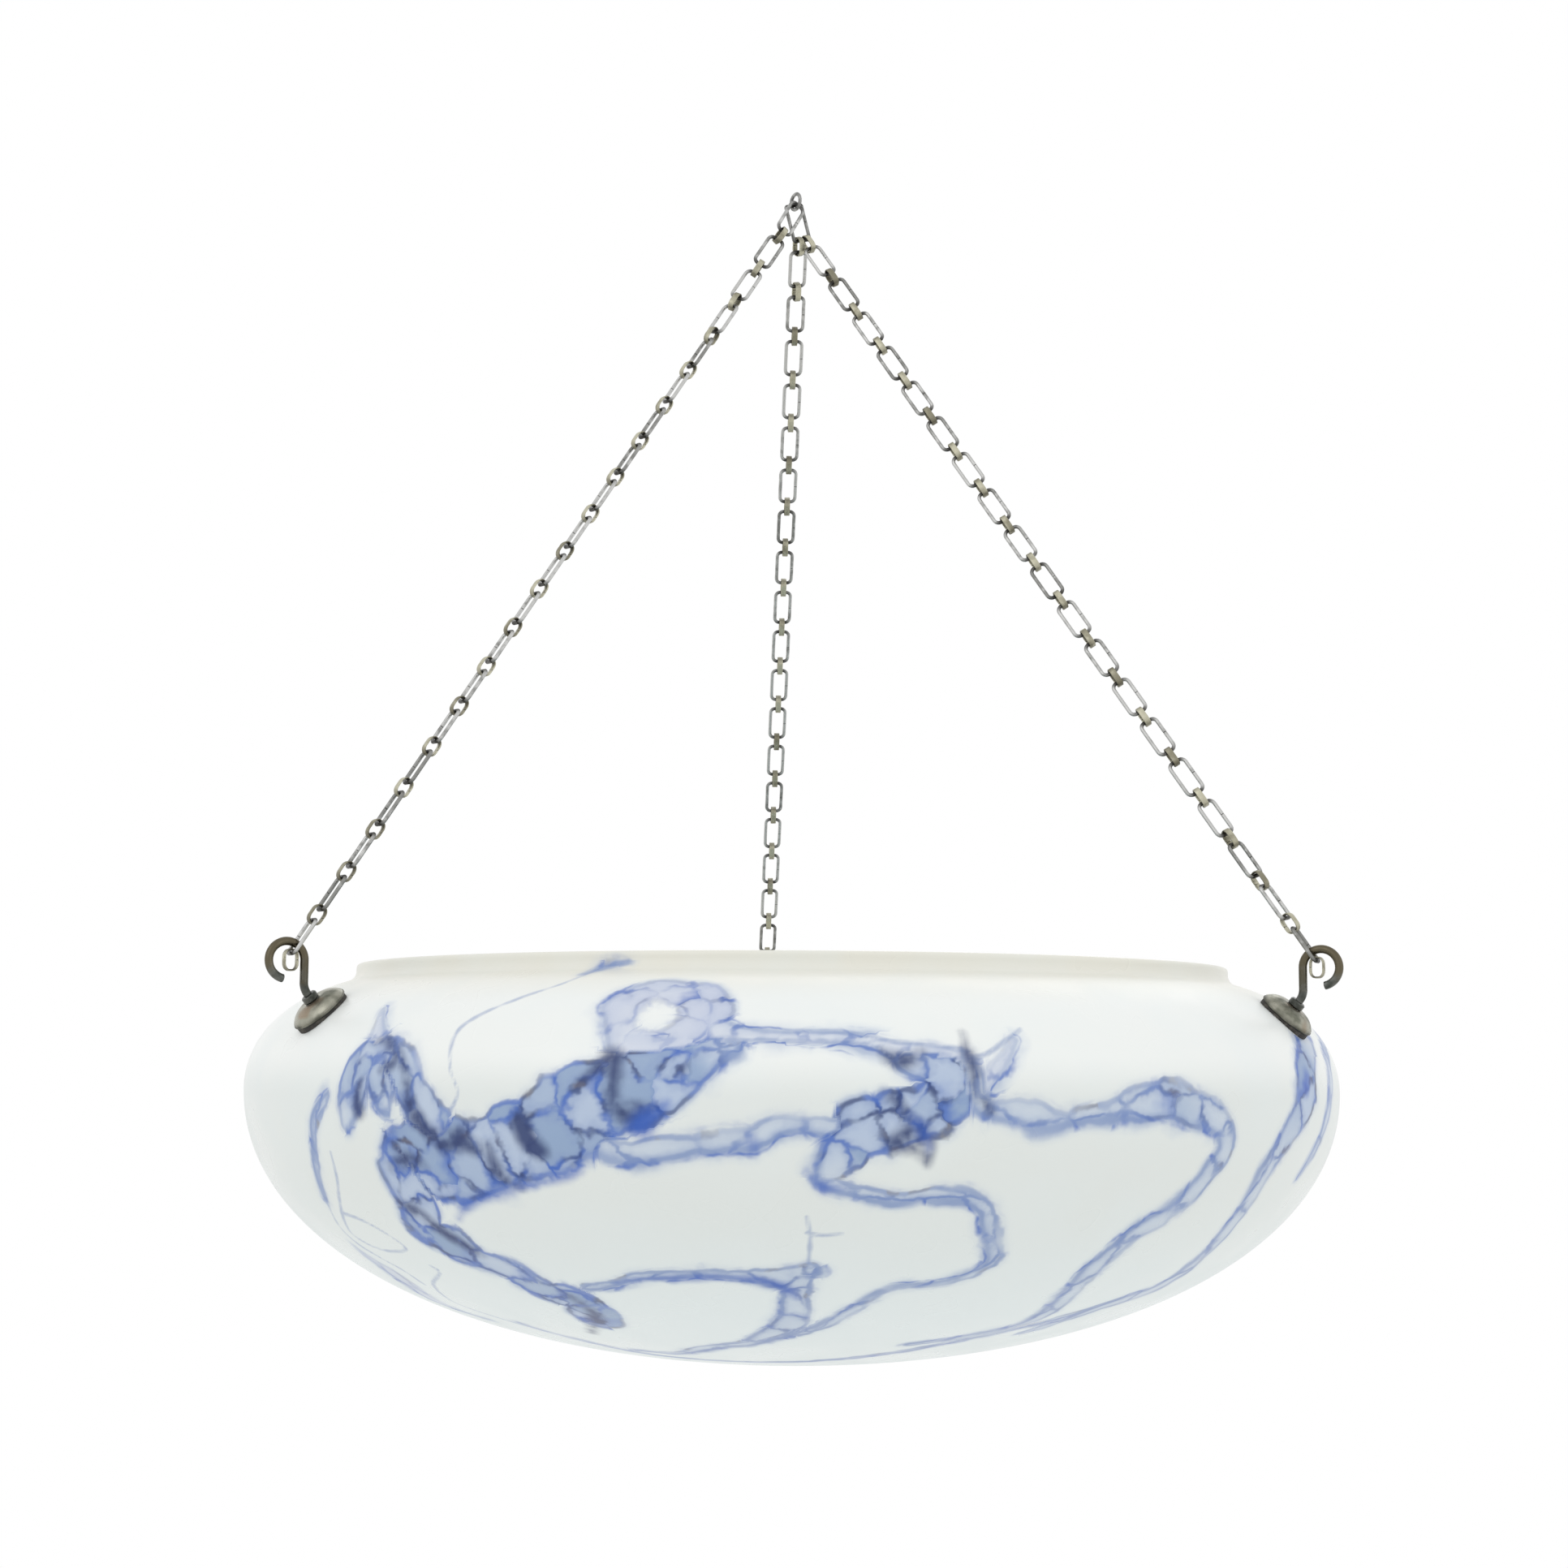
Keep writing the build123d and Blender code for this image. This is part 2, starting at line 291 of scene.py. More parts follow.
def dress(piece: bpy.types.Object, slot: Slot, nodes: Sequence[str]) -> None:
    """Puts a piece on the body of the nodes that it stands for.

    Args:
        piece: the object.
        slot: not used.
        nodes: the CAD nodes that it stands for.
    """
    bodies = frame["record"]["behaviour"]["bodies"]
    body = next(body for body, members in bodies.items() if nodes[0] in members)
    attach(piece, body)
    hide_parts(*nodes)
    log.info("%s: %d faces, rides on %s", piece.name, len(piece.data.polygons), body)


def solids(node: str) -> list[Place]:
    """Finds the separate solids of a CAD node.

    Args:
        node: the node's name.

    Returns:
        Each solid's place: longest way along, next across, thinnest through.
    """
    draft = bmesh.new()
    draft.from_mesh(frame["nodes"][node].data)
    bmesh.ops.remove_doubles(draft, verts=draft.verts, dist=WELD)
    draft.verts.ensure_lookup_table()
    left = set(range(len(draft.verts)))
    places = []
    while left:
        heap = [left.pop()]
        group = []
        while heap:
            number = heap.pop()
            group.append(number)
            for edge in draft.verts[number].link_edges:
                other = edge.other_vert(draft.verts[number]).index
                if other in left:
                    left.remove(other)
                    heap.append(other)
        points = np.array([draft.verts[number].co[:] for number in group]) / METRES
        places.append(principal_place(points))
    draft.free()
    return sorted(places, key=lambda place: -place.middle[2])


def principal_place(points: np.ndarray) -> Place:
    """Fits a place to the corners of one symmetrical solid.

    Args:
        points: the solid's corners.

    Returns:
        Its place, with the long way upwards.
    """
    through, across, along = np.linalg.eigh(np.cov((points - points.mean(axis=0)).T))[1].T
    # Signs are fixed, so that links of one chain don't face opposite ways
    along = along * (1 if along[2] >= 0 else -1)
    across = across * (1 if across[0] + 2 * across[1] >= 0 else -1)
    through = np.cross(across, along)
    axes = np.array((across, along, through))
    reach = points @ axes.T
    middle = (reach.min(axis=0) + reach.max(axis=0)) / 2 @ axes
    return Place(middle, across, along, through)


def round_loop(wide: float, tall: float, corner_wide: float, corner_tall: float) -> np.ndarray:
    """Draws a loop with rounded corners, from the joint in the middle of one side.

    Args:
        wide: half the loop's width.
        tall: half its length.
        corner_wide: how much of the width each corner rounds.
        corner_tall: how much of the length each corner rounds.

    Returns:
        Points across and along; the first four lie close together at the joint.
    """
    angles = np.linspace(0, math.pi / 2, 7)
    turn_wide = wide - corner_wide * (1 - np.cos(angles))
    turn_tall = tall - corner_tall * (1 - np.sin(angles))
    joint = np.array([(wide, height) for height in JOINT])
    side = np.array([(wide, (tall - corner_tall) * share) for share in (0.35, 0.7)])
    quarter = np.concatenate((side, np.stack((turn_wide, turn_tall), axis=1)))
    end = np.array([((wide - corner_wide) * share, tall) for share in (0.6, 0.0, -0.6)])
    left = quarter[::-1] * (-1, 1)
    return np.concatenate((joint, quarter, end, left, [(-wide, 0.0)], -quarter, -end, -left))


def loop_grid(place: Place, outline: np.ndarray, section: np.ndarray, joint_depth: float) -> np.ndarray:
    """Carries a section round a flat closed loop.

    Args:
        place: the loop's place.
        outline: points across and along.
        section: the section's points, outwards from the loop and through it.
        joint_depth: how much of the section is left out where the ends meet.

    Returns:
        A grid with a row of section points for each point of the outline.
    """
    ahead = np.roll(outline, -1, axis=0) - np.roll(outline, 1, axis=0)
    ahead /= np.linalg.norm(ahead, axis=1, keepdims=True)
    outwards = np.stack((ahead[:, 1], -ahead[:, 0]), axis=1)
    size = np.ones(len(outline))
    size[1:3] = 1 - joint_depth
    across = outline[:, :1] + outwards[:, :1] * section[None, :, 0] * size[:, None]
    along = outline[:, 1:] + outwards[:, 1:] * section[None, :, 0] * size[:, None]
    through = section[None, :, 1] * size[:, None]
    return place.world(across, along, through)


def full_turn(columns: int) -> np.ndarray:
    """Angles of points spaced evenly round a circle."""
    return np.arange(columns) * 2 * math.pi / columns


def circle(radius: float, angles: np.ndarray) -> np.ndarray:
    """Points of a circle at these angles, two coordinates each."""
    return radius * np.stack((np.cos(angles), np.sin(angles)), axis=1)


def eased(corners: Sequence[tuple[float, float, float]], steps: int = 4) -> np.ndarray:
    """Rounds the corners of a closed outline.

    Args:
        corners: each corner's two coordinates and how far before and after it the rounding starts.
        steps: points round each corner.

    Returns:
        The outline's points.
    """
    points = []
    for number, (first, second, cut) in enumerate(corners):
        corner = np.array((first, second))
        before = np.array(corners[number - 1][:2]) - corner
        after = np.array(corners[(number + 1) % len(corners)][:2]) - corner
        start = corner + before / np.linalg.norm(before) * cut
        end = corner + after / np.linalg.norm(after) * cut
        shares = np.linspace(0, 1, steps if cut else 1)[:, None]
        points.append((1 - shares) ** 2 * start + 2 * shares * (1 - shares) * corner + shares**2 * end)
    return np.concatenate(points)


def spun(place: Place, profile: np.ndarray, columns: int) -> np.ndarray:
    """Turns a profile round a place's long way.

    Args:
        place: the axis runs along it.
        profile: radii and heights.
        columns: points round.

    Returns:
        A grid with one row for each point of the profile.
    """
    angles = full_turn(columns)
    across = profile[:, :1] * np.cos(angles)
    through = profile[:, :1] * np.sin(angles)
    along = np.broadcast_to(profile[:, 1:], across.shape)
    return place.world(across, along, through)


@dataclass(frozen=True)
class AgedMetal:
    """Old metal fittings, dulled by handling and years in the air.

    The plating is still bright in places, dull in patches, and dark in the joints where dirt stays; plates
    and washers are painted darker towards their lower edge as shade.
    """

    name: str
    bright: str
    dull: str
    dirt_and_shade: str
    roughness: float = 0.34
    patch: float = 3.0
    rubbed_per_patch: float = 0.42
    scratch: float = 0.4
    tip: str | None = None
    worn: str | None = None

    def build(self) -> bpy.types.Material:
        """Makes the material.

        Returns:
            Metal with patches of tarnish, fine scratches, dirt and painted shade.
        """
        material, add = new_material(self.name)
        place = add("TexCoord", output="Object")
        # Tarnish comes in patches, and each link has a tone of its own
        patches = add("TexNoise", {"Vector": place, "Scale": 1 / (self.patch * METRES), "Detail": 3.0})
        tone = add("Attribute", output="Fac", attribute_name="tone")
        shade = add("Math", (tone, 0.3, patches), operation="MULTIPLY_ADD")
        dull = add("MapRange", (shade, 0.36, 0.8, 0.0, 1.0), **EASED)
        colour = add("Mix", {0: dull, 6: linear(self.bright), 7: linear(self.dull)}, **LAID_OVER)
        # Hands have browned the middle of a rod, and rubbed a plate's plating through in spots
        if self.tip:
            height = add("Attribute", output="Fac", attribute_name="height")
            height = add("Math", (patches, 0.3, height), operation="MULTIPLY_ADD")
            browned = add("MapRange", (height, 0.45, 0.85, 0.0, 1.0), **EASED)
            colour = add("Mix", {0: browned, 6: colour, 7: linear(self.tip)}, **LAID_OVER)
        if self.worn:
            spots = {"Vector": place, "Scale": self.rubbed_per_patch / (self.patch * METRES), "Detail": 1.0}
            rubbed = add("MapRange", (add("TexNoise", spots), 0.62, 0.72, 0.0, 0.7), **EASED)
            colour = add("Mix", {0: rubbed, 6: colour, 7: linear(self.worn)}, **LAID_OVER)
        # Dirt stays where pieces touch, thicker in some places than in others; on plates and washers this mix
        # is painted shade on their lower part
        contact = add("Attribute", output="Fac", attribute_name="contact")
        thick = add("MapRange", (patches, 0.2, 0.55, 0.55, 0.95), **EASED)
        dirt = add("Math", (contact, thick), operation="MULTIPLY")
        colour = add("Mix", {0: dirt, 6: colour, 7: linear(self.dirt_and_shade)}, **LAID_OVER)
        # Scratches are 0.05 mm wide on the real piece, and drawn wider so that they show
        scratches = add("TexNoise", {"Vector": place, "Scale": 1 / (self.scratch * METRES), "Detail": 2.0})
        gloss = add("Math", (scratches, 0.5, patches), operation="MULTIPLY_ADD")
        rough = (gloss, 0.4, 1.1, self.roughness - 0.1, self.roughness + 0.22)
        surface = {
            "Base Color": colour,
            "Roughness": add("MapRange", rough, **EASED),
            "Metallic": 1.0,
            "Normal": add("Bump", {"Height": scratches, "Strength": 0.12, "Distance": 0.00005}),
        }
        add("OutputMaterial", (add("BsdfPrincipled", surface),))
        return material


# Mild steel wire, drawn, bent and nickel plated: a warm grey shine that years of handling have dulled
PLATED_WIRE = AgedMetal("nickel_plated_wire", "#C0C0BE", "#888885", "#383633")
# Steel strip, rolled and bent: its thin lacquer has gone olive and tan
LACQUERED_STRIP = AgedMetal(
    "lacquered_steel_strip", "#BDBAA6", "#8C8876", "#2E2A22", roughness=0.4, patch=4.0
)
# Steel rod with a chemical bronze finish: brown where hands touch it, blue-grey near the glass
BRONZED_ROD = AgedMetal("bronzed_steel_rod", "#6B6D69", "#40443F", "#22211E", roughness=0.26, tip="#665F4E")
# Brass spun to a dish and nickel plated: the plating is olive grey, and the brass shows on rubbed spots; its
# darkest colour paints shade under the brim
SPUN_PLATE = AgedMetal(
    "plated_spun_brass", "#A3A295", "#5E6155", "#23241F", roughness=0.32, patch=5.0, worn="#96836F"
)
# Zinc plated steel, cut and pressed: bluish, with white bloom; its darkest colour is dirt on the nut and
# painted shade on the washer's lower side
ZINC_STEEL = AgedMetal("zinc_plated_steel", "#B9BDC0", "#8C9296", "#45484A", roughness=0.42)


@dataclass(frozen=True)
class MouldedRubber:
    """Moulded rubber pads, matt and slightly chalky with age."""

    name: str = "moulded_rubber"
    base: str = "#2B2926"
    chalk: str = "#57534C"
    roughness: float = 0.8
    bloom: float = 2.5
    grain: float = 0.25

    def build(self) -> bpy.types.Material:
        """Makes the material.

        Returns:
            Dark rubber with a fine moulded grain and pale bloom.
        """
        material, add = new_material(self.name)
        place = add("TexCoord", output="Object")
        bloom = add("TexNoise", {"Vector": place, "Scale": 1 / (self.bloom * METRES), "Detail": 3.0})
        chalky = add("MapRange", (bloom, 0.45, 0.75, 0.0, 1.0), **EASED)
        grain = add("TexNoise", {"Vector": place, "Scale": 1 / (self.grain * METRES), "Detail": 2.0})
        rough = (bloom, 0.3, 0.7, self.roughness - 0.1, self.roughness + 0.1)
        surface = {
            "Base Color": add("Mix", {0: chalky, 6: linear(self.base), 7: linear(self.chalk)}, **LAID_OVER),
            "Roughness": add("MapRange", rough, **EASED),
            "IOR": 1.52,
            "Normal": add("Bump", {"Height": grain, "Strength": 0.3, "Distance": 0.0001}),
        }
        add("OutputMaterial", (add("BsdfPrincipled", surface),))
        return material


@dataclass(frozen=True)
class AgateGlass:
    """Blown opal glass, cased with trailed blue glass that broke into cells as it was swirled.

    It is milky with a soft gloss, warm towards the rim and cooler below. The blue lies in the outer skin,
    pale inside its steel blue outlines and nearly black in a few joints, and doesn't show inside the bowl.
    """

    name: str = "opal_agate_glass"
    milk: str = "#D9DEDC"
    # Painted light from above: the shoulder is drawn whiter than the milk
    shoulder: str = "#E7EAE8"
    rim: str = "#DEDDD3"
    cool: str = "#DCE5E7"
    pale_blue: str = "#A9B9D2"
    violet: str = "#BBC3D8"
    slate: str = "#819ABD"
    steel: str = "#7E92BB"
    cobalt: str = "#4166B6"
    navy: str = "#2C3D6C"
    vivid: str = "#2E5AB4"
    umber: str = "#6E645C"
    roughness: float = 0.3
    cloud: float = 26.0
    swirl: float = 9.0
    cord: float = 30.0

    def build(self) -> bpy.types.Material:
        """Makes the material.

        Returns:
            Opal glass with the agate pattern that the mesh's numbers lay out.
        """
        material, add = new_material(self.name)
        place = add("TexCoord", output="Object")
        clouds = add("TexNoise", {"Vector": place, "Scale": 1 / (self.cloud * METRES), "Detail": 2.0})
        swirl = add("TexNoise", {"Vector": place, "Scale": 1 / (self.swirl * METRES), "Detail": 2.5})
        # Cords in the blown glass make the gloss swim a little
        cords = add("TexNoise", {"Vector": place, "Scale": 1 / (self.cord * METRES), "Detail": 1.0})
        rough = (clouds, 0.3, 0.7, self.roughness - 0.04, self.roughness + 0.08)
        surface = {
            "Base Color": self.trails(add, self.milky(add, place, clouds), clouds, swirl),
            "Roughness": add("MapRange", rough, **EASED),
            "IOR": 1.5,
            "Specular IOR Level": 0.35,
            "Normal": add("Bump", {"Height": cords, "Strength": 0.04, "Distance": 0.002}),
        }
        add("OutputMaterial", (add("BsdfPrincipled", surface),))
        return material

    def milky(
        self, add: AddNode, place: bpy.types.NodeSocket, clouds: bpy.types.NodeSocket
    ) -> bpy.types.NodeSocket:
        """Colours the opal glass: warm at the rim and cool below, with painted light from above making the
        shoulder whiter.

        Args:
            add: adds a node to the material.
            place: the object's coordinates.
            clouds: slow noise.

        Returns:
            The glass's colour.
        """
        height = add("SeparateXYZ", (place,), "Z")
        colour = linear(self.milk)
        # Each change's colour, what it follows, where it starts and is full (heights in metres), and its most
        changes = (
            # Painted light from above, making the shoulder whiter
            (self.shoulder, height, -0.352, -0.336, 1.0),
            (self.rim, height, -0.322, -0.308, 1.0),
            (self.cool, height, -0.37, -0.43, 1.0),
            (self.cool, clouds, 0.35, 0.75, 0.2),
        )
        for shade, value, start, end, most in changes:
            share = add("MapRange", (value, start, end, 0.0, most), **EASED)
            colour = add("Mix", {0: share, 6: colour, 7: linear(shade)}, **LAID_OVER)
        return colour

    def trails(
        self,
        add: AddNode,
        milk: bpy.types.NodeSocket,
        clouds: bpy.types.NodeSocket,
        swirl: bpy.types.NodeSocket,
    ) -> bpy.types.NodeSocket:
        """Lays the blue trails over the milk of the glass.

        Args:
            add: adds a node to the material.
            milk: the glass's colour.
            clouds: slow noise.
            swirl: quicker noise, whose node also has a colour.

        Returns:
            The finished colour.
        """
        names = ("band", "seam", "along", "across", "cells", "violet", "smudge", "spot", "thread", "inside")
        read = {name: add("Attribute", output="Fac", attribute_name=name) for name in names}
        sway = add("SeparateXYZ", (swirl.node.outputs["Color"],)).node.outputs
        # Outlines wander by up to 2 mm either way
        wobble = add("Math", (swirl, 4.0, -2.0), operation="MULTIPLY_ADD")

        # The trails broke into ribs across their way, and the blue gathered in the walls between the ribs
        along = add("Math", (sway["X"], 0.9, read["along"]), operation="MULTIPLY_ADD")
        across = add("Math", (sway["Y"], 0.8, read["across"]), operation="MULTIPLY_ADD")
        spread = add("CombineXYZ", (along, across))
        cell = {"Vector": spread, "Scale": 1.0, "Randomness": 0.85}
        middle_gap = add("TexVoronoi", cell, voronoi_dimensions="2D")
        wall_gap = add("TexVoronoi", cell, voronoi_dimensions="2D", feature="DISTANCE_TO_EDGE")
        wall_gap = add("Math", (wall_gap, read["seam"]), operation="MINIMUM")
        chance = add("SeparateXYZ", (middle_gap.node.outputs["Color"],)).node.outputs
        lean = (spread, middle_gap.node.outputs["Position"])
        lean = add("SeparateXYZ", (add("VectorMath", lean, operation="SUBTRACT"),))
        swell = add("MapRange", (read["cells"], 0.0, 1.0, -2.4, -5.0))
        swell = add("Math", (middle_gap, swell, wobble), operation="MULTIPLY_ADD")
        edge = add("Math", (read["band"], swell), operation="ADD")
        edge = add("Math", (read["cells"], 1.6, edge), operation="MULTIPLY_ADD")
        edge = add("Math", (edge, 1.0), operation="ADD")
        rim_gap = add("Math", (edge, 0.4), operation="SUBTRACT")
        rim_gap = add("Math", (rim_gap,), operation="ABSOLUTE")

        for name in ("smudge", "spot"):
            read[name] = add("Math", (read[name], wobble), operation="ADD")
        read["thread"] = add("Math", (swirl, 1.6, read["thread"]), operation="MULTIPLY_ADD")

        # Shares of pigment, each from the values that it is eased between
        ramps = {
            "fill": (edge, -1.0, 1.6, 0.0, 1.0),
            "bleed": (edge, -5.0, 0.5, 0.0, 0.45),
            "lower": (read["across"], -0.35, 0.35, 0.25, 1.0),
            "patchy": (clouds, 0.38, 0.6, 0.35, 1.0),
            "broken": (swirl, 0.34, 0.58, 0.2, 1.0),
            "rim": (rim_gap, 0.3, 1.5, 0.75, 0.0),
            "rim_glow": (rim_gap, 0.3, 3.4, 0.6, 0.0),
            "wall": (wall_gap, 0.01, 0.13, 0.85, 0.0),
            "wall_glow": (wall_gap, 0.0, 0.34, 0.7, 0.0),
            "near_rim": (rim_gap, 1.0, 3.5, 1.0, 0.0),
            "dense": (read["cells"], 0.0, 1.0, 0.45, 0.88),
            "faint": (read["violet"], 0.0, 1.0, 1.0, 0.35),
            "clotted": (sway["Z"], 0.34, 0.56, 0.35, 1.0),
            "darker": (chance["Y"], 0.3, 0.75, 0.0, 1.0),
            "shaded": (lean, 0.05, 0.5, 0.0, 0.9),
            "chosen": (chance["X"], 0.4, 0.75, 0.0, 1.0),
            "deep": (sway["Z"], 0.42, 0.6, 0.0, 1.0),
            "brown": (sway["Z"], 0.58, 0.66, 0.0, 0.6),
            "upper": (read["across"], -0.5, 0.1, 1.0, 0.0),
            "smudge": (read["smudge"], -2.6, 2.8, 0.0, 0.95),
            "spot": (read["spot"], -3.0, 3.0, 0.0, 0.85),
            "thread": (read["thread"], 0.9, 2.2, 0.6, 0.0),
        }
        share = {name: add("MapRange", values, **EASED) for name, values in ramps.items()}
        products = {
            "bleed": ("bleed", "lower"),
            "body": ("fill", "dense"),
            "slate": ("darker", "cells"),
            "wall": ("wall", "broken"),
            "tick": ("wall", "near_rim", "lower"),
            "wall_line": ("wall", "fill", "faint"),
            "wall_glow": ("wall_glow", "fill", "broken", "dense", "faint"),
            "rim_glow": ("rim_glow", "lower", "faint"),
            "rim_line": ("rim", "patchy", "faint"),
            "shade": ("shaded", "chosen", "fill", "cells"),
            "deep": ("deep", "cells"),
            "brown": ("brown", "upper"),
            "smudge": ("smudge", "clotted"),
        }
        share |= {"cells": read["cells"], "violet": read["violet"]}
        for name, (first, *others) in products.items():
            share[name] = share[first]
            for other in others:
                share[name] = add("Math", (share[name], share[other]), operation="MULTIPLY")
        line = add("Math", (share["rim_line"], share["wall_line"]), operation="MAXIMUM")

        # Colours, laid one over another from the milk of the glass to the darkest joints
        blue = add("Mix", {0: share["slate"], 6: linear(self.pale_blue), 7: linear(self.slate)}, **LAID_OVER)
        blue = add("Mix", {0: share["violet"], 6: blue, 7: linear(self.violet)}, **LAID_OVER)
        ink = add("Mix", {0: share["cells"], 6: linear(self.steel), 7: linear(self.cobalt)}, **LAID_OVER)
        ink = add("Mix", {0: share["deep"], 6: ink, 7: linear(self.navy)}, **LAID_OVER)
        ink = add("Mix", {0: share["brown"], 6: ink, 7: linear(self.umber)}, **LAID_OVER)
        layers = (
            (share["bleed"], linear(self.pale_blue)),
            (share["body"], blue),
            (share["wall_glow"], linear(self.steel)),
            (share["shade"], linear(self.cobalt)),
            (share["rim_glow"], linear(self.steel)),
            (share["tick"], linear(self.cobalt)),
            (line, ink),
            (share["thread"], linear(self.steel)),
            (share["smudge"], linear(self.navy)),
            (share["spot"], linear(self.vivid)),
            (read["inside"], milk),
        )
        colour = milk
        for amount, pigment in layers:
            colour = add("Mix", {0: amount, 6: colour, 7: pigment}, **LAID_OVER)
        return colour


@dataclass(frozen=True)
class PhotoView:
    """The camera that took the photograph, found from the light's proportions in it."""

    image: float = 1932.0
    focal: float = 3109.0
    distance: float = 963.0
    above_widest: float = 9.0
    aside: float = -3.4
    bearing: float = -93.2
    pitch: float = 6.34
    roll: float = 0.3
    sensor: float = 36.0

    def axes(self) -> tuple[np.ndarray, np.ndarray, np.ndarray]:
        """Works out the way the camera faces.

        Returns:
            Directions to its right, up and ahead.
        """
        bearing, pitch, roll = (math.radians(turn) for turn in (self.bearing, self.pitch, self.roll))
        level = np.array((-math.cos(bearing), -math.sin(bearing), 0.0))
        right = np.cross(level, UP)
        ahead = level * math.cos(pitch) + UP * math.sin(pitch)
        up = np.cross(right, ahead)
        lean, rise = math.sin(roll), math.cos(roll)
        return right * rise + up * lean, up * rise - right * lean, ahead

    def stand(self, widest: float) -> np.ndarray:
        """Finds where the camera stands.

        Args:
            widest: height of the bowl's widest point.

        Returns:
            The camera's place.
        """
        bearing = math.radians(self.bearing)
        out = np.array((math.cos(bearing), math.sin(bearing), 0.0))
        right = np.cross(-out, UP)
        return out * self.distance + right * self.aside + UP * (widest + self.above_widest)

    def rays(self, pixels: np.ndarray) -> np.ndarray:
        """Finds the directions of image points.

        Args:
            pixels: places from the image's upper left corner.

        Returns:
            Directions of length one.
        """
        right, up, ahead = self.axes()
        across = (pixels[:, 0] - self.image / 2) / self.focal
        down = (pixels[:, 1] - self.image / 2) / self.focal
        rays = ahead + across[:, None] * right - down[:, None] * up
        return rays / np.linalg.norm(rays, axis=1, keepdims=True)

    def build(self, widest: float) -> None:
        """Makes the scene's camera.

        Args:
            widest: height of the bowl's widest point.
        """
        data = bpy.data.cameras.new("photo_camera")
        data.sensor_width = self.sensor
        data.lens = self.focal / self.image * self.sensor
        camera = add_object("photo_camera", data)
        right, up, ahead = self.axes()
        turn = np.eye(4)
        turn[:3, :3] = np.stack((right, up, -ahead), axis=1)
        turn[:3, 3] = self.stand(widest) * METRES
        camera.matrix_world = Matrix(turn.tolist())
        bpy.context.scene.camera = camera


def bezier(steers: np.ndarray, steps: int) -> np.ndarray:
    """Samples a curve with four steering points.

    Args:
        steers: the steering points.
        steps: number of points, ends included.

    Returns:
        Points along the curve.
    """
    share = np.linspace(0, 1, steps)[:, None]
    first, second, third, fourth = steers
    start = (1 - share) ** 3 * first + 3 * share * (1 - share) ** 2 * second
    return start + 3 * share**2 * (1 - share) * third + share**3 * fourth


def inset(steers: np.ndarray, distance: float) -> np.ndarray:
    """Steering points of a curve inside another.

    Args:
        steers: steering points of the outer curve.
        distance: how far inside, square to its ends.

    Returns:
        Steering points of the inner curve.
    """
    first, second, third, fourth = steers
    leave = (second - first) / np.linalg.norm(second - first)
    arrive = (fourth - third) / np.linalg.norm(fourth - third)
    start = first + distance * np.array((-leave[1], leave[0]))
    end = fourth + distance * np.array((-arrive[1], arrive[0]))
    scale = np.linalg.norm(end - start) / np.linalg.norm(fourth - first)
    return np.array((start, start + (second - first) * scale, end - (fourth - third) * scale, end))


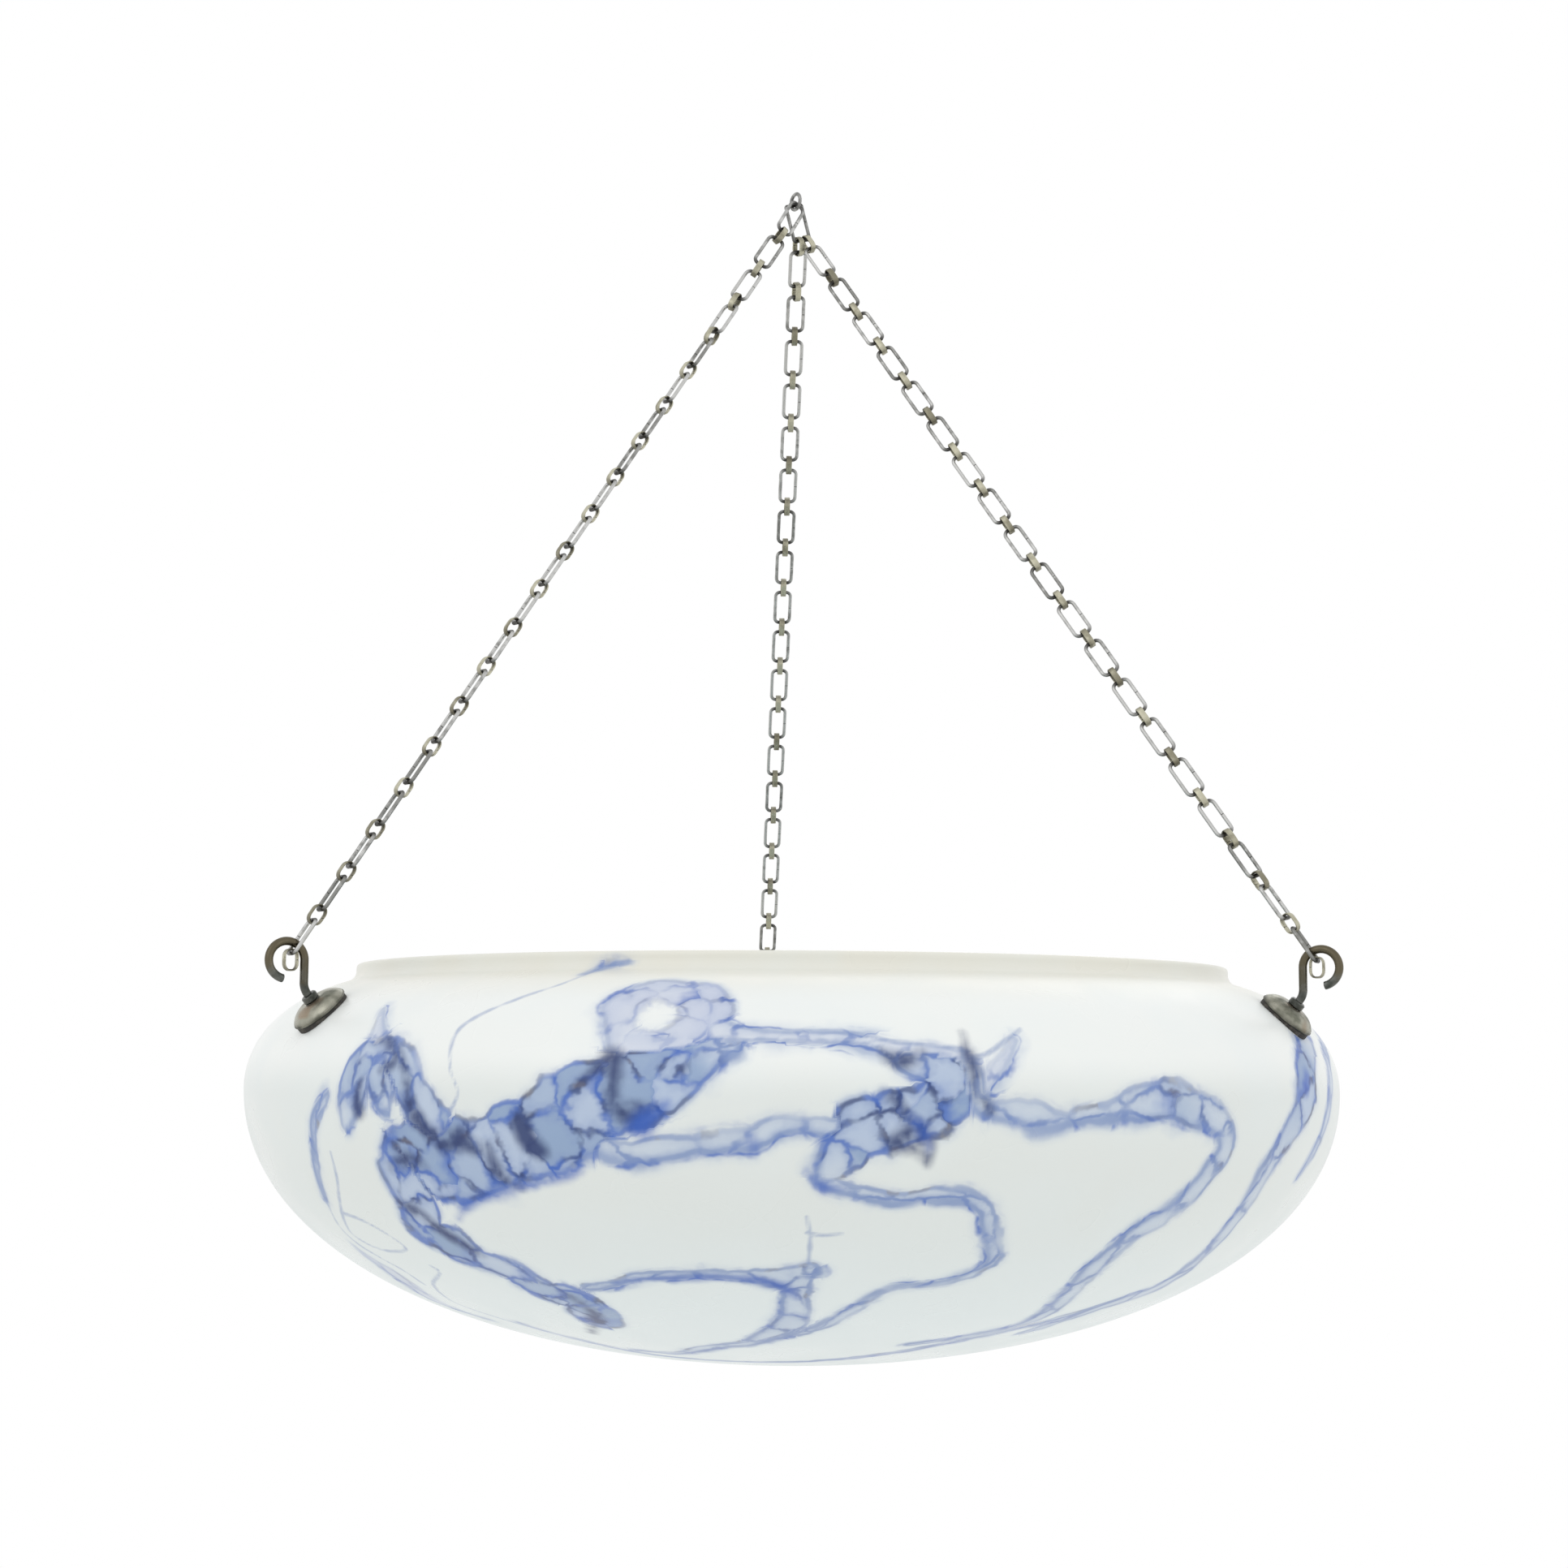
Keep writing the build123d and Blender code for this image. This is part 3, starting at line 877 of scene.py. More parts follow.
@dataclass(frozen=True)
class BowlShape:
    """Section of the bowl, as radii and heights from its widest point."""

    radius: float = 203.0
    depth: float = 100.0
    fullness: float = 0.585
    shoulder_swell: float = 18.5
    shoulder_rise: float = 38.5
    shoulder_width: float = 36.5
    shoulder_run: float = 22.5
    shoulder_slope: float = 16.0
    neck_width: float = 3.0
    collar_height: float = 6.5
    collar_start: float = 0.3
    wall: float = 5.0
    rim_round: float = 1.5
    hook_inset: float = 12.2
    hook_hole: float = 5.4
    underside_rows: int = 170
    shoulder_rows: int = 44
    neck_rows: int = 7
    inner_underside_rows: int = 90
    inner_shoulder_rows: int = 24
    finest_rows: int = 4001

    @property
    def shoulder_in(self) -> np.ndarray:
        """Way that the shoulder runs where it meets the neck."""
        slope = math.radians(self.shoulder_slope)
        return np.array((-math.cos(slope), math.sin(slope)))

    @property
    def underside(self) -> np.ndarray:
        """Steering points of the underside."""
        full = self.fullness
        wide, deep = self.radius, self.depth
        return np.array(((0, -deep), (full * wide, -deep), (wide, -full * deep), (wide, 0)))

    @property
    def shoulder(self) -> np.ndarray:
        """Steering points of the shoulder."""
        end = np.array((self.radius - self.shoulder_width, self.shoulder_rise))
        last = end - self.shoulder_in * self.shoulder_run
        return np.array(((self.radius, 0), (self.radius, self.shoulder_swell), last, end))

    def neck(self, thickness: float, steps: int) -> np.ndarray:
        """Draws the hollow round that turns the shoulder up into the collar.

        Args:
            thickness: how far inside the outer face.
            steps: number of points.

        Returns:
            Points from the shoulder up to the collar.
        """
        slope = math.radians(self.shoulder_slope)
        radius = self.neck_width / (1 - math.sin(slope))
        middle = self.shoulder[3] + radius * np.array((math.sin(slope), math.cos(slope)))
        angles = np.linspace(math.pi / 2 - slope, 0, steps)[:, None]
        return middle - (radius + thickness) * np.concatenate((np.cos(angles), np.sin(angles)), axis=1)

    def outside(self, fine: int = 1) -> np.ndarray:
        """Draws the outer face from the lowest point to the neck.

        Args:
            fine: how many times finer than the mesh.

        Returns:
            Radii and heights.
        """
        lower = bezier(self.underside, self.underside_rows * fine)
        upper = bezier(self.shoulder, self.shoulder_rows * fine)
        return np.concatenate((lower, upper[1:], self.neck(0.0, self.neck_rows * fine)[1:]))

    def inside(self) -> np.ndarray:
        """Draws the inner face from the lowest point to the neck."""
        lower = bezier(inset(self.underside, self.wall), self.inner_underside_rows)
        upper = bezier(inset(self.shoulder, self.wall), self.inner_shoulder_rows)
        return np.concatenate((lower, upper[1:], self.neck(self.wall, self.neck_rows)[1:]))

    def rim(self) -> np.ndarray:
        """Draws the collar's rounded rim, from the outer face over to the inner.

        Returns:
            Radii and heights.
        """
        outer = self.radius - self.shoulder_width - self.neck_width
        inner = outer - self.wall
        top = self.shoulder_rise + self.collar_height
        foot = self.neck(0.0, 2)[-1, 1] + self.collar_start
        bend = self.rim_round
        corners = ((outer, foot, 0.0), (outer, top, bend), (inner, top, bend), (inner, foot, 0.0))
        return eased(corners, steps=6)

    def radius_at(self, height: np.ndarray) -> np.ndarray:
        """Reads the outer radius at these heights.

        Args:
            height: heights from the widest point.

        Returns:
            Radii, or nought above and below the glass.
        """
        outline = self.outside(fine=4)
        return np.interp(height, outline[:, 1], outline[:, 0], left=0.0, right=0.0)

    def hook_seat(self) -> tuple[float, float, float]:
        """Finds where a hook goes through the shoulder.

        Returns:
            Radius, height, and the lean of the hook's shank from upright in radians.
        """
        curve = bezier(self.shoulder, self.finest_rows)
        radius = self.radius - self.hook_inset
        number = int(np.argmin(np.abs(curve[:, 0] - radius)))
        way = curve[number + 1] - curve[number - 1]
        return radius, float(curve[number, 1]), math.atan2(way[1], -way[0])


class Kind(Enum):
    """How a vein looks."""

    BAND = "band"
    VIOLET = "violet"
    THREAD = "thread"
    SPOT = "spot"
    SMUDGE = "smudge"


@dataclass(frozen=True)
class Vein:
    """One trail of blue glass, laid out by points of the photograph.

    Each point is its place across and down the image and half the trail's width in millimetres. A thread's
    points have no width.
    """

    kind: Kind
    points: tuple[tuple[float, ...], ...]


# The order sets where each trail's ribs start, so a new vein goes last
VEINS = {
    "left_peak": Vein(Kind.BAND, (
        (426, 1382, 3.0), (430, 1352, 6.0), (440, 1324, 6.6), (458, 1298, 6.6), (480, 1300, 6.4),
        (500, 1326, 6.4), (514, 1356, 6.6), (534, 1390, 7.0),
    )),
    "left_tip": Vein(Kind.VIOLET, ((472, 1244, 0.6), (467, 1262, 2.4), (466, 1282, 4.4))),
    "left_disc": Vein(Kind.BAND, ((466, 1298, 5.8), (476, 1298, 5.8))),
    "left_heart": Vein(Kind.BAND, ((466, 1320, 6.0), (470, 1345, 6.0), (478, 1366, 2.5))),
    "left_thread": Vein(Kind.THREAD, (
        (387, 1377), (387, 1414), (399, 1468), (417, 1509), (439, 1531), (471, 1551), (498, 1566),
        (522, 1582),
    )),
    "left_ribbon": Vein(Kind.BAND, ((402, 1350, 1.2), (388, 1380, 1.5), (390, 1430, 1.4), (402, 1478, 1.4))),
    "left_hair": Vein(Kind.THREAD, (
        (408, 1420), (415, 1451), (419, 1482), (425, 1506), (436, 1522), (462, 1537), (484, 1542),
        (500, 1538), (476, 1520), (447, 1504), (421, 1494),
    )),
    "left_foot": Vein(Kind.VIOLET, (
        (436, 1534, 0.8), (468, 1558, 3.6), (500, 1580, 5.2), (532, 1600, 4.2), (566, 1614, 2.6),
        (604, 1626, 0.8),
    )),
    "main_cells": Vein(Kind.BAND, (
        (498, 1420, 9.0), (544, 1432, 12.6), (598, 1427, 12.6), (643, 1405, 12.0), (689, 1382, 13.0),
        (734, 1359, 13.0), (779, 1337, 12.0), (824, 1318, 10.0), (870, 1300, 6.0), (906, 1291, 2.5),
    )),
    "lower_arm": Vein(Kind.BAND, (
        (495, 1425, 9.0), (507, 1477, 9.0), (528, 1512, 8.5), (562, 1534, 8.0), (598, 1554, 6.5),
        (634, 1568, 6.0), (675, 1590, 7.0), (716, 1604, 8.0), (740, 1626, 8.0),
    )),
    "violet_ring": Vein(Kind.VIOLET, (
        (765, 1282, 5.0), (765, 1244, 6.1), (792, 1225, 6.1), (824, 1221, 6.1), (858, 1229, 7.0),
        (870, 1250, 7.0), (846, 1275, 6.4), (806, 1286, 5.9), (774, 1284, 5.6),
    )),
    "lower_outline": Vein(Kind.BAND, (
        (745, 1412, 3.5), (775, 1420, 3.5), (833, 1414, 4.0), (879, 1409, 3.5), (929, 1403, 3.2),
        (956, 1388, 3.0), (990, 1386, 3.0), (1030, 1390, 3.5),
    )),
    "foot_line": Vein(Kind.BAND, (
        (725, 1586, 1.8), (788, 1574, 2.0), (861, 1568, 2.0), (924, 1572, 3.0), (966, 1576, 5.5),
        (996, 1566, 4.0),
    )),
    "foot_knot": Vein(Kind.BAND, ((983, 1575, 5.0), (978, 1600, 4.5), (972, 1632, 5.5), (930, 1652, 3.5))),
    "bottom_band": Vein(Kind.BAND, (
        (780, 1663, 1.4), (833, 1667, 2.5), (870, 1661, 3.0), (924, 1654, 3.0), (990, 1638, 2.5),
    )),
    "upper_band": Vein(Kind.VIOLET, (
        (880, 1266, 4.4), (915, 1273, 2.8), (960, 1277, 2.2), (1028, 1278, 2.2), (1075, 1286, 2.6),
        (1118, 1296, 3.6), (1160, 1298, 3.2), (1196, 1304, 2.4),
    )),
    "whisker": Vein(Kind.THREAD, ((1196, 1304), (1216, 1298), (1236, 1284), (1258, 1268))),
    "whisker_lobe": Vein(Kind.VIOLET, (
        (1214, 1346, 1.5), (1226, 1322, 3.0), (1242, 1300, 2.2), (1250, 1282, 1.0),
    )),
    "dark_fork": Vein(Kind.SMUDGE, (
        (1184, 1272, 0.3), (1190, 1292, 1.6), (1196, 1306, 2.2), (1201, 1326, 1.4), (1208, 1350, 2.0),
        (1221, 1370, 0.9),
    )),
    "blob": Vein(Kind.BAND, (
        (1120, 1306, 4.5), (1163, 1320, 7.5), (1168, 1346, 8.8), (1130, 1374, 7.6), (1090, 1388, 8.0),
        (1055, 1398, 8.2), (1036, 1418, 6.5), (1019, 1445, 4.5),
    )),
    "blob_arm": Vein(Kind.BAND, ((1186, 1300, 2.6), (1198, 1332, 4.0), (1206, 1356, 3.6), (1218, 1370, 2.4))),
    "tail_ribbon": Vein(Kind.BAND, (
        (1012, 1452, 2.8), (1050, 1468, 2.2), (1105, 1477, 2.0), (1141, 1472, 1.8), (1191, 1474, 2.2),
        (1216, 1491, 2.4), (1221, 1522, 2.6), (1226, 1549, 2.4), (1205, 1566, 1.8), (1159, 1581, 1.4),
        (1096, 1590, 1.4), (1051, 1613, 2.0), (1010, 1636, 2.6), (960, 1645, 2.6),
    )),
    "right_ribbon": Vein(Kind.BAND, (
        (1218, 1368, 2.4), (1268, 1373, 4.2), (1300, 1379, 3.2), (1349, 1373, 2.2), (1390, 1364, 4.2),
        (1440, 1357, 6.0), (1481, 1368, 5.4), (1508, 1391, 4.4), (1512, 1414, 4.2), (1494, 1441, 4.2),
        (1472, 1468, 4.2), (1440, 1495, 4.0), (1395, 1522, 4.0), (1354, 1559, 4.0), (1322, 1590, 4.0),
        (1291, 1617, 3.5), (1254, 1633, 2.0), (1200, 1645, 1.8), (1120, 1657, 1.8),
    )),
    "far_ribbon": Vein(Kind.BAND, (
        (1604, 1266, 2.5), (1612, 1298, 6.5), (1612, 1334, 9.0), (1600, 1377, 6.5), (1572, 1423, 5.0),
        (1546, 1468, 4.2), (1514, 1513, 3.8), (1481, 1549, 3.6), (1431, 1584, 3.8), (1354, 1612, 3.4),
        (1262, 1642, 2.2),
    )),
    "edge_shade": Vein(Kind.BAND, (
        (1622, 1268, 1.0), (1634, 1300, 3.0), (1640, 1345, 3.4), (1628, 1400, 2.4), (1600, 1450, 1.2),
    )),
    "bottom_line": Vein(Kind.BAND, (
        (640, 1630, 1.0), (720, 1652, 1.4), (800, 1668, 1.6), (880, 1676, 1.6), (975, 1678, 1.6),
        (1090, 1668, 1.6), (1180, 1652, 1.6), (1280, 1630, 1.4), (1380, 1600, 1.0),
    )),
    "rim_thread": Vein(Kind.THREAD, (
        (775, 1185), (743, 1194), (693, 1212), (634, 1232), (580, 1257), (559, 1278), (555, 1318),
        (564, 1346), (553, 1373),
    )),
    "centre_thread": Vein(Kind.THREAD, ((994, 1500), (998, 1524), (996, 1556))),
    "centre_dash": Vein(Kind.THREAD, ((994, 1519), (1014, 1522), (1037, 1520))),
    "cobalt_spot": Vein(Kind.SPOT, ((774, 1392, 0.5), (788, 1386, 4.0), (806, 1374, 2.0), (820, 1360, 0.2))),
    "blob_star": Vein(Kind.SMUDGE, (
        (1092, 1410, 0.6), (1112, 1404, 3.6), (1130, 1404, 4.8), (1138, 1418, 2.8), (1142, 1436, 0.2),
    )),
    "blob_line": Vein(Kind.SMUDGE, (
        (1088, 1344, 0.5), (1104, 1354, 1.2), (1116, 1368, 1.2), (1130, 1390, 2.4),
    )),
    "joint_shade": Vein(Kind.SMUDGE, (
        (716, 1330, 0.4), (742, 1310, 2.4), (756, 1302, 3.2), (756, 1330, 2.4), (758, 1356, 2.8),
        (776, 1374, 4.4), (796, 1366, 2.4),
    )),
    "peak_shade": Vein(Kind.SMUDGE, (
        (490, 1290, 0.4), (500, 1322, 1.2), (502, 1350, 2.2), (516, 1380, 3.0), (536, 1396, 2.4),
        (570, 1394, 1.0),
    )),
    "disc_shade": Vein(Kind.SMUDGE, (
        (462, 1282, 0.2), (478, 1282, 0.8), (488, 1294, 1.2), (484, 1310, 1.4), (470, 1316, 0.8),
    )),
    "leg_shade": Vein(Kind.SMUDGE, ((446, 1330, 0.4), (440, 1352, 1.2), (442, 1370, 2.2))),
    "band_shade": Vein(Kind.SMUDGE, ((636, 1376, 1.8), (648, 1400, 3.8), (664, 1418, 3.0))),
    "curve_shade": Vein(Kind.SMUDGE, (
        (602, 1412, 0.8), (610, 1438, 2.2), (624, 1456, 2.0), (642, 1464, 0.8),
    )),
    "round_shade": Vein(Kind.SMUDGE, ((544, 1412, 2.6), (564, 1406, 3.4), (586, 1416, 2.4))),
    "neck_shade": Vein(Kind.SMUDGE, ((482, 1438, 1.2), (504, 1430, 2.2), (522, 1434, 1.2))),
    "arm_shade": Vein(Kind.SMUDGE, (
        (492, 1480, 1.2), (512, 1492, 2.6), (544, 1516, 3.0), (576, 1536, 2.2), (596, 1548, 0.8),
    )),
    "foot_shade": Vein(Kind.SMUDGE, ((690, 1590, 0.4), (716, 1606, 1.8), (734, 1622, 2.6), (728, 1642, 1.2))),
    "upper_shade": Vein(Kind.SMUDGE, (
        (1086, 1294, 0.4), (1102, 1306, 2.4), (1126, 1306, 1.8), (1136, 1296, 0.4),
    )),
    "fringe": Vein(Kind.SPOT, (
        (566, 1502, 0.3), (573, 1487, 1.0), (590, 1478, 0.4), (609, 1474, 1.3), (650, 1462, 0.4),
        (690, 1452, 0.9), (716, 1444, 0.2),
    )),
    "foot_fringe": Vein(Kind.SPOT, (
        (760, 1580, 0.2), (800, 1576, 0.8), (900, 1574, 0.8), (960, 1584, 1.6), (984, 1600, 0.4),
    )),
    "far_spot": Vein(Kind.SPOT, ((1610, 1328, 2.4), (1609, 1340, 2.4))),
    "left_spur": Vein(Kind.THREAD, (
        (531, 1560), (542, 1568), (534, 1583), (555, 1602), (584, 1614), (615, 1624), (676, 1641),
    )),
    "upper_line": Vein(Kind.THREAD, (
        (900, 1262), (945, 1270), (1040, 1272), (1090, 1282), (1135, 1287), (1186, 1293),
    )),
    "upper_edge": Vein(Kind.THREAD, (
        (896, 1281), (975, 1283), (1040, 1284), (1075, 1289), (1096, 1301), (1112, 1307), (1142, 1304),
    )),
    "blob_fringe": Vein(Kind.SPOT, (
        (1124, 1374, 0.2), (1135, 1388, 1.1), (1141, 1402, 0.7), (1144, 1414, 0.1),
    )),
    "tail_fringe": Vein(Kind.SPOT, ((1004, 1456, 0.2), (1014, 1463, 0.9), (1034, 1464, 0.2))),
    "lower_fringe": Vein(Kind.SPOT, ((924, 1402, 0.1), (929, 1410, 0.9), (928, 1418, 0.1))),
    "rim_dab": Vein(Kind.BAND, ((720, 1200, 0.6), (740, 1193, 1.8), (757, 1188, 1.8), (774, 1184, 0.6))),
}


@dataclass
class AgatePattern:
    """Lays the veins on the bowl and tells every point of the glass how far it is from them.

    A trail's cells come in as half its width goes from no_cells to full_cells. Ribs are in millimetres, and
    widths in cells. The camera's rays meet the glass between near and far.
    """

    shape: BowlShape
    view: PhotoView
    widest: float
    reach: float = 16.0
    step: float = 1.0
    rib: float = 12.5
    ribbon_rib: float = 19.0
    ribs_between_veins: float = 100.0
    no_cells: float = 4.0
    full_cells: float = 8.0
    near: float = 700.0
    far: float = 1250.0
    ribbon_width: float = 0.4
    cells_width: float = 0.75
    least_half: float = 2.0
    points_at_once: int = 4000

    def on_glass(self, pixels: np.ndarray) -> np.ndarray:
        """Finds where image points lie on the glass.

        Args:
            pixels: places from the image's upper left corner.

        Returns:
            Points on the outer face, or nearest to it for a place just off its edge.
        """
        rays = self.view.rays(pixels)
        stand = self.view.stand(self.widest)
        along = np.arange(self.near, self.far, 1.0)
        points = stand + rays[:, None, :] * along[:, None]
        room = np.hypot(points[..., 0], points[..., 1]) - self.shape.radius_at(points[..., 2] - self.widest)
        hit = np.argmax(room < 0, axis=1)
        rows = np.arange(len(hit))
        before, behind = room[rows, hit - 1], room[rows, hit]
        share = before / np.maximum(before - behind, 1e-6)
        reach = np.where(room[rows, hit] < 0, along[hit - 1] + share, along[np.argmin(room, axis=1)])
        return stand + rays * reach[:, None]

    def trail(self, vein: Vein) -> np.ndarray:
        """Draws a vein smoothly over the glass.

        Args:
            vein: the vein.

        Returns:
            Points about a step apart, with half widths as the fourth number.
        """
        table = np.array(vein.points)
        halves = np.ones((len(table), 1)) if vein.kind is Kind.THREAD else table[:, 2:]
        knots = np.concatenate((self.on_glass(table[:, :2]), halves), axis=1)
        ends = np.concatenate((2 * knots[:1] - knots[1:2], knots, 2 * knots[-1:] - knots[-2:-1]))
        parts = []
        for before, start, end, after in zip(ends, ends[1:], ends[2:], ends[3:]):
            steps = max(2, int(np.linalg.norm((end - start)[:3]) / self.step))
            share = np.arange(steps)[:, None] / steps
            lean = (end - before) * share + (2 * before - 5 * start + 4 * end - after) * share**2
            parts.append(start + 0.5 * (lean + (3 * start - before - 3 * end + after) * share**3))
        return np.concatenate((*parts, knots[-1:]))

    def numbers(self, points: np.ndarray) -> dict[str, np.ndarray]:
        """Works out what the shader reads at every point of the glass.

        Args:
            points: points of the mesh.

        Returns:
            Numbers by name: millimetres from the trails' edges and threads, counts of ribs, and shares.
        """
        numbers = {name: np.full(len(points), -self.reach) for name in ("band", "next", "spot", "smudge")}
        numbers |= {name: np.zeros(len(points)) for name in ("along", "across", "cells", "violet")}
        numbers["thread"] = np.full(len(points), self.reach)
        for turned in (points, points * (-1, -1, 1)):
            for number, vein in enumerate(VEINS.values()):
                self.mark(numbers, turned, vein, number * self.ribs_between_veins)
        numbers["seam"] = (numbers["band"] - numbers.pop("next")) / self.rib
        return numbers

    def mark(self, numbers: dict[str, np.ndarray], points: np.ndarray, vein: Vein, start: float) -> None:
        """Adds one vein to the numbers of the points near it.

        Args:
            numbers: numbers so far, changed in place.
            points: points of the mesh.
            vein: the vein.
            start: what the distance along the vein starts from.
        """
        trail = self.trail(vein)
        ahead = np.gradient(trail[:, :3], axis=0)
        cells = np.clip((trail[:, 3] - self.no_cells) / (self.full_cells - self.no_cells), 0, 1)
        rib = self.ribbon_rib + (self.rib - self.ribbon_rib) * cells
        gone = start + np.cumsum(np.linalg.norm(ahead, axis=1) / rib)
        low, high = trail[:, :3].min(axis=0) - self.reach, trail[:, :3].max(axis=0) + self.reach
        near = np.flatnonzero(np.all((points > low) & (points < high), axis=1))
        for chunk in np.array_split(near, len(near) // self.points_at_once + 1):
            away = points[chunk][:, None, :] - trail[:, :3]
            gaps = np.linalg.norm(away, axis=2)
            rows = np.arange(len(chunk))
            first = np.argmax(trail[:, 3] - gaps, axis=1)
            gap, half = gaps[rows, first], trail[first, 3]
            if vein.kind in (Kind.SPOT, Kind.SMUDGE):
                name = vein.kind.value
                numbers[name][chunk] = np.maximum(numbers[name][chunk], half - gap)
            elif vein.kind is Kind.THREAD:
                numbers["thread"][chunk] = np.minimum(numbers["thread"][chunk], gap)
            else:
                turn = np.cross(ahead[first], points[chunk])
                side = np.sign(np.einsum("ij,ij->i", turn, away[rows, first])) * gap
                wide = self.ribbon_width + (self.cells_width - self.ribbon_width) * cells[first]
                new = {
                    "band": half - gap,
                    "along": gone[first],
                    "across": wide * side / np.maximum(half, self.least_half),
                    "cells": cells[first],
                    "violet": np.full(len(chunk), float(vein.kind is Kind.VIOLET)),
                }
                best, second = numbers["band"][chunk], numbers["next"][chunk]
                numbers["next"][chunk] = np.maximum(second, np.minimum(best, new["band"]))
                better = new["band"] > best
                for name, values in new.items():
                    numbers[name][chunk[better]] = values[better]


@dataclass
class GlassBowl:
    """The opal glass bowl: a closed turned skin with three hook holes."""

    shape: BowlShape
    pattern: AgatePattern
    columns: int = 900
    hole_columns: int = 48
    crease: float = 50.0

    def build(self, glass: bpy.types.Material) -> None:
        """Makes the bowl and lays the agate pattern on it.

        Args:
            glass: its finish.
        """
        profile = np.concatenate((self.shape.outside()[1:], self.shape.rim(), self.shape.inside()[:0:-1]))
        middle = UP * self.pattern.widest
        place = Place(middle, np.array((1.0, 0.0, 0.0)), UP, np.array((0.0, 1.0, 0.0)))
        draft = Draft()
        draft.add(spun(place, profile, self.columns), closed=False)
        bowl = add_object("agate_glass_bowl", draft.mesh("agate_glass_bowl"))
        self.drill(bowl)
        self.lay_pattern(bowl.data)
        bowl.data.materials.clear()
        bowl.data.materials.append(glass)
        bowl.data.shade_smooth()
        bowl.data.set_sharp_from_angle(angle=math.radians(self.crease))
        dress(bowl, Slot.OPAL_GLASS, ("glass_bowl",))

    def drill(self, bowl: bpy.types.Object) -> None:
        """Cuts the hook holes through the shoulder.

        Args:
            bowl: the bowl, changed in place.
        """
        radius, _, _ = self.shape.hook_seat()
        drill = Draft()
        for side in SIDES:
            seat = hook_seat(side, self.shape, self.pattern.widest)
            reach = 4 * self.shape.wall
            bit = np.array([(self.shape.hook_hole / 2, height) for height in (-reach, 0, reach)])
            drill.add(spun(seat, bit, self.hole_columns), closed=False)
        cutter = add_object("drill", drill.mesh("drill"))
        cut = bowl.modifiers.new("hook_holes", "BOOLEAN")
        cut.operation = "DIFFERENCE"
        cut.solver = "MANIFOLD"
        cut.object = cutter
        graph = bpy.context.evaluated_depsgraph_get()
        drilled = bpy.data.meshes.new_from_object(bowl.evaluated_get(graph))
        bowl.modifiers.clear()
        bowl.data = drilled
        bpy.data.objects.remove(cutter)
        log.info("bowl drilled at radius %.1f mm: %d faces", radius, len(drilled.polygons))

    def lay_pattern(self, mesh: bpy.types.Mesh) -> None:
        """Stores the pattern's numbers in the mesh.

        Args:
            mesh: the bowl's mesh.
        """
        flat = np.empty(len(mesh.vertices) * 3)
        mesh.vertices.foreach_get("co", flat)
        points = flat.reshape(-1, 3) / METRES
        for name, numbers in self.pattern.numbers(points).items():
            store(mesh, name, numbers)
        # The blue is in the outer skin: on the sides it ends by depth from the outer face, below by height
        rise = points[:, 2] - self.pattern.widest
        depth = self.shape.radius_at(rise) - np.hypot(points[:, 0], points[:, 1])
        below = rise > -self.shape.depth + 1.2 * self.shape.wall
        inner = np.where(below, depth, rise + self.shape.depth) / (0.7 * self.shape.wall)
        store(mesh, "inside", np.clip(inner, 0, 1))


def hook_seat(side: str, shape: BowlShape, widest: float) -> Place:
    """Finds the seat of one hook on the glass.

    Args:
        side: which chain.
        shape: the bowl's section.
        widest: height of the bowl's widest point.

    Returns:
        The seat, along the shank; across it lies level, round the bowl.
    """
    radius, rise, lean = shape.hook_seat()
    low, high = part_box(f"{side}_plate")
    middle = (np.array(low) + np.array(high)) / 2
    bearing = math.atan2(middle[1], middle[0])
    out = np.array((math.cos(bearing), math.sin(bearing), 0.0))
    round_way = np.array((-math.sin(bearing), math.cos(bearing), 0.0))
    along = out * math.sin(lean) + UP * math.cos(lean)
    return Place(out * radius + UP * (widest + rise), round_way, along, np.cross(round_way, along))


